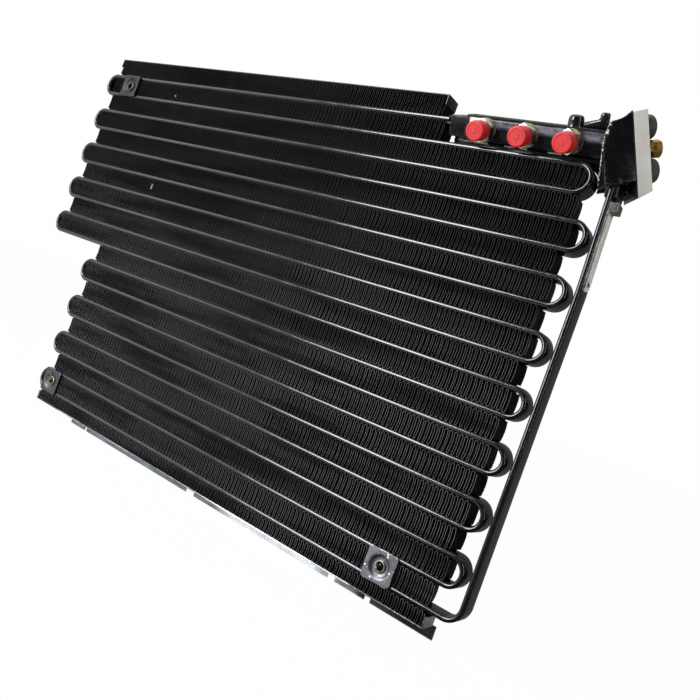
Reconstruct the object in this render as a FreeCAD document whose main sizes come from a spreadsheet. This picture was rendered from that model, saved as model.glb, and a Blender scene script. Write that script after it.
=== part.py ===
import FreeCAD, Part
import math
import os

import Sketcher
from FreeCAD import Placement, Rotation, Vector

# Automotive air-conditioning condenser: one flat tube folded to and fro, corrugated fins
# brazed between its passes, a header bar with three capped fittings and a hose block.
# Frame: +X along the passes to the right, +Y from front to back, +Z up. The origin is on the
# axis of the lower left mounting insert, in the plane of the tube's front edges.

doc = FreeCAD.newDocument("Condenser")

SIZES = [
    # core
    ("PassCount", 18, "passes of the flat tube, top to bottom"),
    ("PassPitch", 24.0, "from one pass to the next"),
    ("TubeDepth", 20.0, "flat tube, front to back"),
    ("TubeThickness", 4.8, "flat tube, across its flats"),
    ("LeftBendX", -98.5, "centre of the upper left bends"),
    ("StepInset", 87.0, "how far the lower left bends stand in"),
    ("StepPass", 10, "last pass of the wide upper part"),
    ("RightBendX", 562.0, "centre of the right bends"),
    ("FirstBendInset", 12.5, "how far the topmost right bend stands in"),
    ("InletX", 414.0, "right end of the first pass"),
    ("CornerRadius", 14.0, "bend from the last pass into the riser"),
    ("RiserGap", 22.0, "riser's axis from the centres of the right bends"),
    ("RiserLean", 3.0, "the riser's top end leans in this far"),
    ("RiserTopDrop", 39.0, "top end of the riser, below the first pass"),
    ("RiserLeanLength", 87.0, "leaning stretch of the riser"),
    ("RiserKneeRadius", 260.0, "bend below that stretch"),
    # fins
    ("FinInset", 1.0, "fins behind the tube's front edge"),
    ("FinDepth", 18.0, "fins, front to back"),
    ("FinSheet", 0.5, "sheet of the fins, across a wall"),
    ("FinFold", 24.0, "length of one fold wall along the pass"),
    ("FinEndGap", 4.0, "between bend centre and a strip that ends outside the bend"),
    ("FinRightGap", 9.0, "the same on the right"),
    ("TopFinHeight", 19.4, "strip above the first pass"),
    ("TopFinInset", 9.5, "right end of the top strip, from the inlet"),
    ("BottomFinHeight", 12.2, "strip below the last pass"),
    # side plates and rail
    ("PlateSheet", 1.2, "sheet of the top side plate and the bottom rail"),
    ("LipHeight", 9.0, "folded ends of the side plates"),
    ("FlangeDrop", 12.0, "rear flange of the bottom rail, below its web"),
    ("FlangeLeftX", 36.0, "left end of the rear flange"),
    ("NotchHeight", 9.0, "notches in the rear flange"),
    ("TabLength", 12.0, "short tab left of the rear flange"),
    ("TabDrop", 6.5, "the short tab's height"),
    # mounting plates
    ("MountWidth", 30.0, "mounting plate, along X"),
    ("MountHeight", 28.4, "mounting plate, along Z"),
    ("MountSheet", 2.0, "mounting plate"),
    ("DishRadius", 9.3, "the plate's pressed dish, outside"),
    ("DishWall", 0.6, "wall of the dish"),
    ("DishFloor", 2.0, "floor of the dish, behind the plate"),
    ("InsertRadius", 5.6, "threaded insert, in the dish's hole"),
    ("InsertBore", 3.4, "radius of the threaded hole"),
    ("InsertLength", 11.0, "insert, end to end"),
    ("InsertProud", 1.4, "the insert stands out of the dish's floor"),
    ("UpperMountX", -61.5, "upper left mount from the lower left one"),
    ("RightMountX", 505.0, "lower right mount from the lower left one"),
    # header bar and fittings
    ("HeaderTilt", 27.0, "the bar is turned this far down, degrees"),
    ("AdapterLength", 18.5, "from the first pass's end to the bar"),
    ("BarGap", 15.0, "right end of the bar, from the riser's top end"),
    ("BarDrop", 2.4, "axis of the bar, below the first pass"),
    ("BarDepth", 20.0, "bar, along the fittings"),
    ("BarHeight", 24.5, "bar, across the fittings"),
    ("BarChamfer", 3.0, "long edges of the bar"),
    ("AdapterHeight", 12.0, "block between the first pass and the bar"),
    ("AdapterWall", 1.5, "that block, in front of and behind the tube"),
    ("AdapterSocket", 4.0, "length of tube inside that block"),
    ("FittingCount", 3, "fittings along the bar"),
    ("FittingInset", 21.8, "first fitting, from the bar's left end"),
    ("FittingPitch", 40.6, "from one fitting to the next"),
    ("FittingOffset", 0.5, "fittings above the bar's axis"),
    ("HexAcross", 21.0, "hexagon of a fitting, across its flats"),
    ("HexHeight", 9.5, "hexagon of a fitting"),
    ("SpigotRadius", 7.2, "threaded spigot of a fitting"),
    ("SpigotLength", 8.0, "spigot, beyond the hexagon"),
    ("CapRadius", 8.9, "plastic cap, outside"),
    ("CapWall", 1.5, "wall of a cap"),
    ("CapLength", 11.5, "cap, end to end"),
    ("BossInset", 33.5, "round boss on top of the bar, from the bar's right end"),
    ("BossRadius", 6.6, "the boss"),
    ("BossHeight", 9.5, "the boss above the bar"),
    ("GussetInset", 6.0, "web beside the boss, from the bar's right end"),
    ("GussetThickness", 7.0, "that web, front to back"),
    ("GussetLow", 4.0, "its height beside the boss"),
    ("GussetHigh", 8.0, "its height beside its lug"),
    ("LugWidth", 7.0, "lug at the web's right end"),
    ("LugHeight", 13.5, "height of that lug"),
    # hose block
    ("BlockYaw", 34.0, "block turned back about the vertical, degrees"),
    ("BlockPitch", 23.0, "hose face turned up, degrees"),
    ("BlockLeft", 8.0, "casting, left of the riser's axis"),
    ("BlockRight", 17.8, "casting, right of the riser's axis"),
    ("BlockFront", 11.0, "casting, in front of the riser's axis"),
    ("BlockBack", 28.0, "casting, behind the riser's axis"),
    ("FlangeBack", 20.0, "hose flange, behind the riser's axis"),
    ("BlockFoot", 12.5, "underside of the casting above the riser's end"),
    ("BlockTopLeft", 61.5, "top of the casting at its left"),
    ("BlockTopRight", 70.0, "top of the casting at the flange"),
    ("NeckRight", 8.5, "neck, right of the riser's axis"),
    ("RiserSeat", 8.0, "length of riser inside the neck"),
    ("FootInset", 8.0, "lower step of the casting, behind its front"),
    ("FootDrop", 10.0, "lower step of the casting, below the underside"),
    ("FootLength", 6.4, "lower step, along the underside"),
    ("FlangeThick", 11.7, "hose flange"),
    ("FlangeBottom", -1.0, "lower end of the hose flange, on the casting"),
    ("FlangeMargin", 8.6, "upper end of the hose flange, above the upper port's axis"),
    ("FlangeBottomSlope", 5.0, "its underside rises this much to the hose face"),
    ("FlangeTopSlope", 1.7, "its upper end rises this much to the hose face"),
    ("PortRadius", 7.0, "ports in the hose flange"),
    ("PortDepth", 5.0, "depth of the ports"),
    ("LowerPortHeight", 23.4, "lower port"),
    ("PortClearance", 1.7, "between a plug's head and the screw's corner"),
    ("PlugHeadRadius", 8.8, "head of a port plug"),
    ("PlugHead", 8.0, "height of that head"),
    ("StudHexAcross", 13.0, "brass screw between the ports, across its flats"),
    ("StudHead", 11.0, "height of its head"),
    ("StudRadius", 4.0, "its shank"),
    ("StudSeat", 8.0, "depth of its hole"),
    # stay
    ("StaySheet", 2.0, "stay along the riser"),
    ("StayWidth", 12.0, "stay, front to back"),
    ("StayFront", 1.5, "the stay's front edge, behind the tube's"),
    ("StayTopGap", 12.0, "upper end of the stay below the riser's top"),
    ("StayLength", 74.0, "stay, end to end"),
    ("StayHole", 2.5, "radius of the hole at its lower end"),
    ("StayLug", 7.5, "thick upper end of the stay"),
]

sheet = doc.addObject("Spreadsheet::Sheet", "Sizes")
for row, (alias, value, note) in enumerate(SIZES, start=1):
    sheet.set(f"A{row}", alias)
    sheet.set(f"B{row}", str(value))
    sheet.set(f"C{row}", note)
    sheet.setAlias(f"B{row}", alias)
doc.recompute()


def size(alias):
    """One dimension, as the sheet holds it."""
    return float(sheet.get(alias))


def bind(feature, **expressions):
    """Ties properties of a feature to the sheet."""
    for prop, expression in expressions.items():
        feature.setExpression(prop, expression)


def new_body(label):
    body = doc.addObject("PartDesign::Body", label)
    body.Label = label
    return body


def origin_plane(body, role):
    return next(f for f in body.Origin.OriginFeatures if f.Role == role)


def new_sketch(body, name, role):
    sketch = body.newObject("Sketcher::SketchObject", name)
    sketch.AttachmentSupport = [(origin_plane(body, role), "")]
    sketch.MapMode = "FlatFace"
    return sketch


def add_outline(sketch, points):
    """A closed outline of straight lines through points given in the sketch's plane."""
    ring = [Vector(u, v, 0) for u, v in points]
    lines = [Part.LineSegment(a, b) for a, b in zip(ring, ring[1:] + ring[:1])]
    sketch.addGeometry(lines, False)


def add_circle(sketch, radius_expression, u=0.0, v=0.0):
    """A circle whose radius is tied to the sheet."""
    index = sketch.addGeometry(Part.Circle(Vector(u, v, 0), Vector(0, 0, 1), 1.0), False)
    constraint = sketch.addConstraint(Sketcher.Constraint("Radius", index, 1.0))
    sketch.setExpression(f"Constraints[{constraint}]", radius_expression)
    return index


def new_pad(body, sketch, name, length_expression, reverse=False, middle=False):
    pad = body.newObject("PartDesign::Pad", name)
    pad.Profile = sketch
    pad.Reversed = reverse
    pad.Midplane = middle
    bind(pad, Length=length_expression)
    return pad


def new_pocket(body, sketch, name, length_expression):
    pocket = body.newObject("PartDesign::Pocket", name)
    pocket.Profile = sketch
    bind(pocket, Length=length_expression)
    return pocket


def new_box(name, place, length, width, height):
    """A box whose three sizes are tied to the sheet."""
    box = doc.addObject("Part::Box", name)
    bind(box, Length=length, Width=width, Height=height)
    box.Placement = place
    return box


def cut(label, base, tools):
    """Takes the tools out of a piece of stock; the result carries the part's name."""
    tool = tools[0]
    if len(tools) > 1:
        tool = doc.addObject("Part::MultiFuse", f"{label}_tools")
        tool.Shapes = tools
    result = doc.addObject("Part::Cut", label)
    result.Label = label
    result.Base = base
    result.Tool = tool
    return result


def hexagon(across, turned=0.0):
    """Corners of a hexagon about the origin, from its size across flats, turned by degrees."""
    corner = across / math.sqrt(3.0)
    turns = [math.radians(turned + 60.0 * k) for k in range(6)]
    return [(corner * math.cos(t), corner * math.sin(t)) for t in turns]


pitch = size("PassPitch")
pass_count = int(size("PassCount"))
step_pass = int(size("StepPass"))
tube_half = size("TubeThickness") / 2.0
tube_depth = size("TubeDepth")
left_x = size("LeftBendX")
right_x = size("RightBendX")
riser_x = right_x + size("RiserGap")
riser_top_x = riser_x - size("RiserLean")
mount_z = -pitch / 2.0


def pass_z(number):
    """Height of a pass: the lower mounts sit midway between the last two."""
    return mount_z + (pass_count - number) * pitch


def left_bend_x(number):
    """Centre of the left bend that starts at this pass."""
    return left_x if number < step_pass + 1 else left_x + size("StepInset")


def right_bend_x(number):
    """Centre of the right bend that starts at this pass."""
    return right_x - size("FirstBendInset") if number == 2 else right_x


riser_top_z = pass_z(1) - size("RiserTopDrop")

# Route of the flat tube, in the plane of the core


def tangent_arc(before, corner, after, radius):
    """Where a round of this radius starts, its middle and its end, at a corner of a route."""
    to_before = (before - corner).normalize()
    to_after = (after - corner).normalize()
    half = to_before.getAngle(to_after) / 2.0
    reach = radius / math.tan(half)
    middle_way = (to_before + to_after).normalize()
    middle = corner + middle_way * (radius / math.sin(half) - radius)
    return corner + to_before * reach, middle, corner + to_after * reach


def serpentine_route():
    """Edges of the tube's centre line, from the inlet to the top of the riser."""
    edges = []
    radius = pitch / 2.0
    start = Vector(size("InletX"), 0, pass_z(1))
    for number in range(1, pass_count):
        leftward = number % 2 == 1
        bend_x = left_bend_x(number) if leftward else right_bend_x(number)
        side = -1 if leftward else 1
        end = Vector(bend_x, 0, pass_z(number))
        low = Vector(bend_x, 0, pass_z(number + 1))
        middle = Vector(bend_x + side * radius, 0, (end.z + low.z) / 2.0)
        edges.append(Part.LineSegment(start, end).toShape())
        edges.append(Part.Arc(end, middle, low).toShape())
        start = low
    corner = Vector(riser_x, 0, pass_z(pass_count))
    knee = Vector(riser_x, 0, riser_top_z - size("RiserLeanLength"))
    top = Vector(riser_top_x, 0, riser_top_z)
    for before, point, after, name in (
        (start, corner, knee, "CornerRadius"),
        (corner, knee, top, "RiserKneeRadius"),
    ):
        first, middle, last = tangent_arc(before, point, after, size(name))
        edges.append(Part.LineSegment(start, first).toShape())
        edges.append(Part.Arc(first, middle, last).toShape())
        start = last
    edges.append(Part.LineSegment(start, top).toShape())
    return edges


def make_serpentine():
    """The whole tube: its section drawn along each run and turned round each bend."""
    runs = []
    axis = Vector(0, 1, 0)
    for edge in serpentine_route():
        start = edge.valueAt(edge.FirstParameter)
        way = edge.tangentAt(edge.FirstParameter)
        across = way.cross(axis)
        front = [start + across * side for side in (-tube_half, tube_half)]
        back = [point + axis * tube_depth for point in reversed(front)]
        face = Part.Face(Part.makePolygon(front + back + front[:1]))
        if edge.Curve.TypeId == "Part::GeomLine":
            runs.append(face.extrude(way * edge.Length))
        else:
            centre = edge.Curve.Center
            turn = math.degrees(edge.Length / edge.Curve.Radius)
            way_round = (start - centre).cross(way).dot(axis)
            runs.append(face.revolve(centre, axis, math.copysign(turn, way_round)))
    tube = doc.addObject("Part::Feature", "serpentine_tube")
    tube.Shape = runs[0].multiFuse(runs[1:]).removeSplitter().Solids[0]
    return tube


# Corrugated fins


def fin_spans():
    """Left end, right end, bottom and top of each strip, from the top one down."""
    gap = size("FinEndGap")
    right_gap = size("FinRightGap")
    spans = []
    top = pass_z(1) + tube_half
    spans.append((left_x + gap, size("InletX") - size("TopFinInset"), top, top + size("TopFinHeight")))
    for number in range(1, pass_count):
        low = pass_z(number + 1) + tube_half
        high = pass_z(number) - tube_half
        if number % 2 == 1:
            left = left_bend_x(number)
            right = size("InletX") - 2 * size("AdapterSocket") if number == 1 else right_x - right_gap
        else:
            left = left_bend_x(number + 1) + gap
            right = right_bend_x(number)
        spans.append((left, right, low, high))
    high = pass_z(pass_count) - tube_half
    left = left_bend_x(pass_count - 1) - gap
    spans.append((left, right_x - right_gap / 2.0, high - size("BottomFinHeight"), high))
    return spans


def fold_outline(left, right, low, high):
    """A zigzag ribbon between two passes, its crests on the tube."""
    count = max(2, round((right - left) / size("FinFold")))
    step = (right - left) / count
    rise = (high - low) * size("FinSheet") / step
    upper = []
    lower = []
    for k in range(count + 1):
        x = left + k * step
        crest = k % 2 == 1
        upper.append((x, high if crest else low + rise))
        lower.append((x, high - rise if crest else low))
    return upper + lower[::-1]


def relief(name, x, z):
    """Space in a fin strip for a mount's dish and insert."""
    hole = doc.addObject("Part::Cylinder", name)
    bind(hole, Radius="Sizes.DishRadius", Height="Sizes.InsertLength")
    hole.Placement = Placement(Vector(x, 0, z), Rotation(Vector(1, 0, 0), -90))
    return hole


def make_fin(number, span, reliefs):
    label = f"fin_strip_{number:02d}"
    body = new_body(f"{label}_stock" if reliefs else label)
    sketch = new_sketch(body, f"{label}_folds", "XZ_Plane")
    add_outline(sketch, fold_outline(*span))
    new_pad(body, sketch, f"{label}_ribbon", "Sizes.FinDepth", reverse=True)
    body.Placement = Placement(Vector(0, size("FinInset"), 0), Rotation())
    return cut(label, body, reliefs) if reliefs else body


# Side plates


def make_top_plate(span):
    """Folded sheet on the top strip, its ends turned down."""
    left, right, _, high = span
    sheet_t = size("PlateSheet")
    drop = high - size("LipHeight")
    body = new_body("top_side_plate")
    sketch = new_sketch(body, "top_side_plate_fold", "XZ_Plane")
    outline = [
        (left - sheet_t, drop),
        (left, drop),
        (left, high),
        (right, high),
        (right, drop),
        (right + sheet_t, drop),
        (right + sheet_t, high + sheet_t),
        (left - sheet_t, high + sheet_t),
    ]
    add_outline(sketch, outline)
    new_pad(body, sketch, "top_side_plate_sheet", "Sizes.TubeDepth", reverse=True)
    return body


def rail_notches():
    """Left end and width of each notch in the rear flange."""
    length = right_x - size("FlangeLeftX")
    return [(size("FlangeLeftX") + part * length, wide)
            for part, wide in ((0.055, 3.0), (0.41, 12.0), (0.785, 8.0), (0.865, 6.0))]


def make_bottom_rail(span):
    """Sheet under the bottom strip: web, folded ends, and a rear flange with notches."""
    left, right, low, _ = span
    sheet_t = size("PlateSheet")
    rise = low + size("LipHeight")
    under = low - sheet_t
    body = new_body("bottom_rail")
    web = new_sketch(body, "bottom_rail_fold", "XZ_Plane")
    outline = [
        (left - sheet_t, rise),
        (left - sheet_t, under),
        (right + sheet_t, under),
        (right + sheet_t, rise),
        (right, rise),
        (right, low),
        (left, low),
        (left, rise),
    ]
    add_outline(web, outline)
    new_pad(body, web, "bottom_rail_web", "Sizes.TubeDepth", reverse=True)
    flange = new_sketch(body, "bottom_rail_flange_outline", "XZ_Plane")
    flange_left = size("FlangeLeftX")
    foot = low - size("FlangeDrop")
    tab_foot = low - size("TabDrop")
    points = [
        (flange_left - size("TabLength"), low),
        (flange_left - size("TabLength"), tab_foot),
        (flange_left, tab_foot),
        (flange_left, foot),
    ]
    for x, wide in rail_notches():
        roof = foot + size("NotchHeight")
        points += [(x, foot), (x, roof), (x + wide, roof), (x + wide, foot)]
    points += [(right_x, foot), (right_x, low)]
    add_outline(flange, points)
    flange.AttachmentOffset = Placement(Vector(0, 0, -tube_depth), Rotation())
    new_pad(body, flange, "bottom_rail_flange", "Sizes.PlateSheet", reverse=True)
    return body


# Mounting plates and their threaded inserts


def group(label, bodies):
    """Identical pieces kept together as one group of separate solids."""
    result = doc.addObject("Part::Compound", label)
    result.Label = label
    result.Links = bodies
    return result


def make_mount(label, x, z):
    """Square plate across two passes, with a dished seat, and the insert pressed in it."""
    body = new_body(f"{label}_plate")
    half_w = size("MountWidth") / 2.0
    half_h = size("MountHeight") / 2.0
    sheet = new_sketch(body, f"{label}_plate_outline", "XZ_Plane")
    add_outline(sheet, [(-half_w, -half_h), (half_w, -half_h), (half_w, half_h), (-half_w, half_h)])
    add_circle(sheet, "Sizes.DishRadius - Sizes.DishWall")
    new_pad(body, sheet, f"{label}_plate_sheet", "Sizes.MountSheet")
    floor = new_sketch(body, f"{label}_dish_outline", "XZ_Plane")
    add_circle(floor, "Sizes.DishRadius")
    add_circle(floor, "Sizes.InsertRadius")
    new_pad(body, floor, f"{label}_dish_floor", "Sizes.DishFloor", reverse=True)
    body.Placement = Placement(Vector(x, 0, z), Rotation())

    insert = new_body(f"{label}_insert")
    ring = new_sketch(insert, f"{label}_insert_outline", "XZ_Plane")
    add_circle(ring, "Sizes.InsertRadius")
    add_circle(ring, "Sizes.InsertBore")
    new_pad(insert, ring, f"{label}_insert_bush", "Sizes.InsertLength", reverse=True)
    insert.Placement = Placement(Vector(x, -size("InsertProud"), z), Rotation())
    return body, insert


# Header bar, adapter, fittings and caps

header_turn = Rotation(Vector(1, 0, 0), size("HeaderTilt"))
bar_left = size("InletX") + size("AdapterLength")
bar_right = riser_top_x - size("BarGap")


def header_place(x, out=0.0, up=0.0):
    """A place on the header: out along the fittings from the bar's axis, up across them."""
    origin = Vector(x, tube_depth / 2.0, pass_z(1) - size("BarDrop"))
    return Placement(origin + header_turn.multVec(Vector(0, -out, up)), header_turn)


def make_bar():
    """Extruded bar with bevelled long edges, between the adapter and the casting."""
    body = new_body("header_bar")
    sketch = new_sketch(body, "bar_section", "YZ_Plane")
    half_d = size("BarDepth") / 2.0
    half_h = size("BarHeight") / 2.0
    bevel = size("BarChamfer")
    add_outline(sketch, [
        (-half_d, -half_h + bevel),
        (-half_d + bevel, -half_h),
        (half_d - bevel, -half_h),
        (half_d, -half_h + bevel),
        (half_d, half_h - bevel),
        (half_d - bevel, half_h),
        (-half_d + bevel, half_h),
        (-half_d, half_h - bevel),
    ])
    run = "Sizes.RightBendX + Sizes.RiserGap - Sizes.RiserLean - Sizes.BarGap"
    new_pad(body, sketch, "bar_extrusion", f"{run} - Sizes.InletX - Sizes.AdapterLength")
    body.Placement = header_place(bar_left)
    return body


def make_adapter():
    """Block between the first pass and the bar, with a socket for the tube's end."""
    body = new_body("adapter_stock")
    sketch = new_sketch(body, "adapter_outline", "XZ_Plane")
    left = size("InletX") - size("AdapterSocket")
    right = bar_left
    half = size("AdapterHeight") / 2.0
    add_outline(sketch, [(left, -half), (right, -half), (right, half), (left, half)])
    new_pad(body, sketch, "adapter_block", "Sizes.TubeDepth + 2 * Sizes.AdapterWall", reverse=True)
    body.Placement = Placement(Vector(0, -size("AdapterWall"), pass_z(1)), Rotation())
    socket = new_box("adapter_socket", Placement(Vector(left, 0, pass_z(1) - tube_half), Rotation()),
                     "Sizes.AdapterSocket", "Sizes.TubeDepth", "Sizes.TubeThickness")
    return cut("inlet_adapter", body, [socket])


def make_fitting(number):
    label = f"fitting_{number}"
    x = bar_left + size("FittingInset") + (number - 1) * size("FittingPitch")
    place = header_place(x, size("BarDepth") / 2.0, size("FittingOffset"))
    facing = place.multiply(Placement(Vector(), Rotation(Vector(1, 0, 0), 90)))
    body = new_body(label)
    hexagon_sketch = new_sketch(body, f"{label}_hexagon", "XY_Plane")
    add_outline(hexagon_sketch, hexagon(size("HexAcross"), 30.0))
    new_pad(body, hexagon_sketch, f"{label}_hex", "Sizes.HexHeight")
    spigot = new_sketch(body, f"{label}_spigot_ring", "XY_Plane")
    add_circle(spigot, "Sizes.SpigotRadius")
    new_pad(body, spigot, f"{label}_spigot", "Sizes.HexHeight + Sizes.SpigotLength")
    body.Placement = facing

    cap = new_body(f"fitting_cap_{number}")
    disc = new_sketch(cap, f"fitting_cap_{number}_outline", "XY_Plane")
    add_circle(disc, "Sizes.CapRadius")
    disc.AttachmentOffset = Placement(Vector(0, 0, size("HexHeight")), Rotation())
    new_pad(cap, disc, f"fitting_cap_{number}_stock", "Sizes.CapLength")
    mouth = new_sketch(cap, f"fitting_cap_{number}_mouth", "XY_Plane")
    add_circle(mouth, "Sizes.SpigotRadius")
    mouth.AttachmentOffset = disc.AttachmentOffset
    hollow = new_pocket(cap, mouth, f"fitting_cap_{number}_hollow", "Sizes.CapLength - Sizes.CapWall")
    hollow.Reversed = True
    cap.Placement = facing
    return body, cap


def make_boss():
    body = new_body("header_boss")
    disc = new_sketch(body, "header_boss_outline", "XY_Plane")
    add_circle(disc, "Sizes.BossRadius")
    new_pad(body, disc, "header_boss_stock", "Sizes.BossHeight")
    body.Placement = header_place(bar_right - size("BossInset"), 0.0, size("BarHeight") / 2.0)
    return body


def make_gusset():
    """Sloping web on the bar, from the boss to a lug beside the casting."""
    body = new_body("header_gusset")
    sketch = new_sketch(body, "header_gusset_outline", "XZ_Plane")
    left = bar_right - size("BossInset") + size("BossRadius")
    right = bar_right - size("GussetInset")
    top = size("BarHeight") / 2.0
    add_outline(sketch, [
        (left, top),
        (right, top),
        (right, top + size("LugHeight")),
        (right - size("LugWidth"), top + size("LugHeight")),
        (right - size("LugWidth"), top + size("GussetHigh")),
        (left, top + size("GussetLow")),
    ])
    new_pad(body, sketch, "header_gusset_web", "Sizes.GussetThickness", middle=True)
    body.Placement = header_place(0.0)
    return body


def riser_lean():
    """Turn about Y of the riser's leaning top."""
    return -math.degrees(math.atan2(size("RiserLean"), size("RiserLeanLength")))


# Hose block, in a frame of its own: X out of the hose face, Y back, Z up its length

block_turn = Rotation(Vector(0, 0, 1), size("BlockYaw")).multiply(
    Rotation(Vector(0, 1, 0), -size("BlockPitch"))
)
block_place = Placement(
    Vector(riser_top_x, tube_depth / 2.0, riser_top_z - size("RiserSeat")), block_turn
)


def block_point(along, back, up):
    return block_place.multiply(Placement(Vector(along, back, up), Rotation()))


def make_casting():
    """Casting that joins bar and riser: body, neck and the lower step."""
    body = new_body("casting_stock")
    main = new_sketch(body, "casting_outline", "XZ_Plane")
    left = -size("BlockLeft")
    right = size("BlockRight")
    foot = size("BlockFoot")
    add_outline(main, [
        (left, 0),
        (size("NeckRight"), 0),
        (size("NeckRight"), foot),
        (right, foot),
        (right, size("BlockTopRight")),
        (left, size("BlockTopLeft")),
    ])
    main.AttachmentOffset = Placement(Vector(0, 0, size("BlockFront")), Rotation())
    new_pad(body, main, "casting_body", "Sizes.BlockFront + Sizes.BlockBack", reverse=True)
    step = new_sketch(body, "casting_step_outline", "XZ_Plane")
    low = foot - size("FootDrop")
    add_outline(step, [
        (right - size("FootLength"), low),
        (right, low),
        (right, 2 * foot),
        (right - size("FootLength"), 2 * foot),
    ])
    step.AttachmentOffset = Placement(Vector(0, 0, size("BlockFront") - size("FootInset")), Rotation())
    new_pad(
        body, step, "casting_step",
        "Sizes.BlockFront + Sizes.BlockBack - Sizes.FootInset", reverse=True,
    )
    body.Placement = block_place
    socket_end = Vector(riser_top_x, 0, riser_top_z)
    lean = Rotation(Vector(0, 1, 0), riser_lean())
    corner = socket_end + lean.multVec(Vector(-tube_half, 0, -4 * size("RiserSeat")))
    socket = new_box("riser_socket", Placement(corner, lean),
                     "Sizes.TubeThickness", "Sizes.TubeDepth", "4 * Sizes.RiserSeat")
    reach = size("BlockFoot") + size("BlockTopRight")
    clear = Vector(bar_right - reach, -reach, riser_top_z - reach)
    side = new_box("casting_side_cut", Placement(clear, Rotation()),
                   "Sizes.BlockFoot + Sizes.BlockTopRight",
                   "2 * (Sizes.BlockFoot + Sizes.BlockTopRight)",
                   "2 * (Sizes.BlockFoot + Sizes.BlockTopRight)")
    return cut("hose_block", body, [socket, side])


def make_flange():
    """Bare machined flange with two ports and a screw hole between them."""
    body = new_body("hose_flange")
    sketch = new_sketch(body, "hose_flange_outline", "XZ_Plane")
    front = -size("BlockFront")
    back = size("FlangeBack")
    low = size("FlangeBottom")
    high = upper_port_height() + size("FlangeMargin")
    face = size("FlangeThick")
    add_outline(sketch, [
        (0, low),
        (face, low + size("FlangeBottomSlope")),
        (face, high + size("FlangeTopSlope")),
        (0, high),
    ])
    sketch.AttachmentOffset = Placement(Vector(0, 0, size("BlockFront")), Rotation())
    new_pad(body, sketch, "hose_flange_plate", "Sizes.BlockFront + Sizes.FlangeBack", reverse=True)
    middle = (front + back) / 2.0
    holes = (
        ("lower_port", "Sizes.PortRadius", size("LowerPortHeight"), "Sizes.PortDepth"),
        ("upper_port", "Sizes.PortRadius", upper_port_height(), "Sizes.PortDepth"),
        ("screw_hole", "Sizes.StudRadius", screw_height(), "Sizes.StudSeat"),
    )
    for name, radius, height, depth in holes:
        ring = new_sketch(body, f"hose_flange_{name}_ring", "YZ_Plane")
        add_circle(ring, radius, middle, height)
        ring.AttachmentOffset = Placement(Vector(0, 0, size("FlangeThick")), Rotation())
        new_pocket(body, ring, f"hose_flange_{name}", depth)
    body.Placement = block_point(size("BlockRight"), 0, 0)
    return body


def screw_height():
    """The screw sits above the lower port, its head clear of the plug's."""
    corner = size("StudHexAcross") / math.sqrt(3.0)
    return size("LowerPortHeight") + size("PlugHeadRadius") + size("PortClearance") + corner


def upper_port_height():
    return 2 * screw_height() - size("LowerPortHeight")


def hose_face(height):
    """A place on the hose face, its Z out of the face."""
    back = (size("FlangeBack") - size("BlockFront")) / 2.0
    place = block_point(size("BlockRight") + size("FlangeThick"), back, height)
    return place.multiply(Placement(Vector(), Rotation(Vector(0, 1, 0), 90)))


def make_plug(label, height):
    """Rubber plug: a round head on the face and a shank in the port."""
    body = new_body(label)
    disc = new_sketch(body, f"{label}_head_outline", "XY_Plane")
    add_circle(disc, "Sizes.PlugHeadRadius")
    new_pad(body, disc, f"{label}_head", "Sizes.PlugHead")
    ring = new_sketch(body, f"{label}_shank_outline", "XY_Plane")
    add_circle(ring, "Sizes.PortRadius")
    new_pad(body, ring, f"{label}_shank", "Sizes.PortDepth", reverse=True)
    body.Placement = hose_face(height)
    return body


def make_screw():
    body = new_body("brass_screw")
    hexagon_sketch = new_sketch(body, "brass_screw_hexagon", "XY_Plane")
    add_outline(hexagon_sketch, hexagon(size("StudHexAcross")))
    new_pad(body, hexagon_sketch, "brass_screw_head", "Sizes.StudHead")
    shank = new_sketch(body, "brass_screw_ring", "XY_Plane")
    add_circle(shank, "Sizes.StudRadius")
    new_pad(body, shank, "brass_screw_shank", "Sizes.StudSeat", reverse=True)
    body.Placement = hose_face(screw_height())
    return body


def make_stay():
    """Strap on the riser's outer side, thick at its top and rounded at its foot."""
    body = new_body("riser_stay")
    sketch = new_sketch(body, "riser_stay_outline", "YZ_Plane")
    half = size("StayWidth") / 2.0
    high = -size("StayTopGap")
    low = high - size("StayLength")
    sketch.addGeometry([
        Part.LineSegment(Vector(half, low + half, 0), Vector(half, high, 0)),
        Part.LineSegment(Vector(half, high, 0), Vector(-half, high, 0)),
        Part.LineSegment(Vector(-half, high, 0), Vector(-half, low + half, 0)),
        Part.Arc(Vector(-half, low + half, 0), Vector(0, low, 0), Vector(half, low + half, 0)),
    ], False)
    add_circle(sketch, "Sizes.StayHole", 0, low + half)
    new_pad(body, sketch, "riser_stay_strap", "Sizes.StaySheet")
    lug = new_sketch(body, "riser_stay_lug_outline", "YZ_Plane")
    lug_low = high - size("StayLug")
    add_outline(lug, [(-half, lug_low), (half, lug_low), (half, high), (-half, high)])
    new_pad(body, lug, "riser_stay_lug", "Sizes.StayLug")
    lean = Rotation(Vector(0, 1, 0), riser_lean())
    top = Vector(riser_top_x, size("StayFront") + half, riser_top_z)
    body.Placement = Placement(top + lean.multVec(Vector(tube_half, 0, 0)), lean)
    return body


# Assembly

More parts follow.
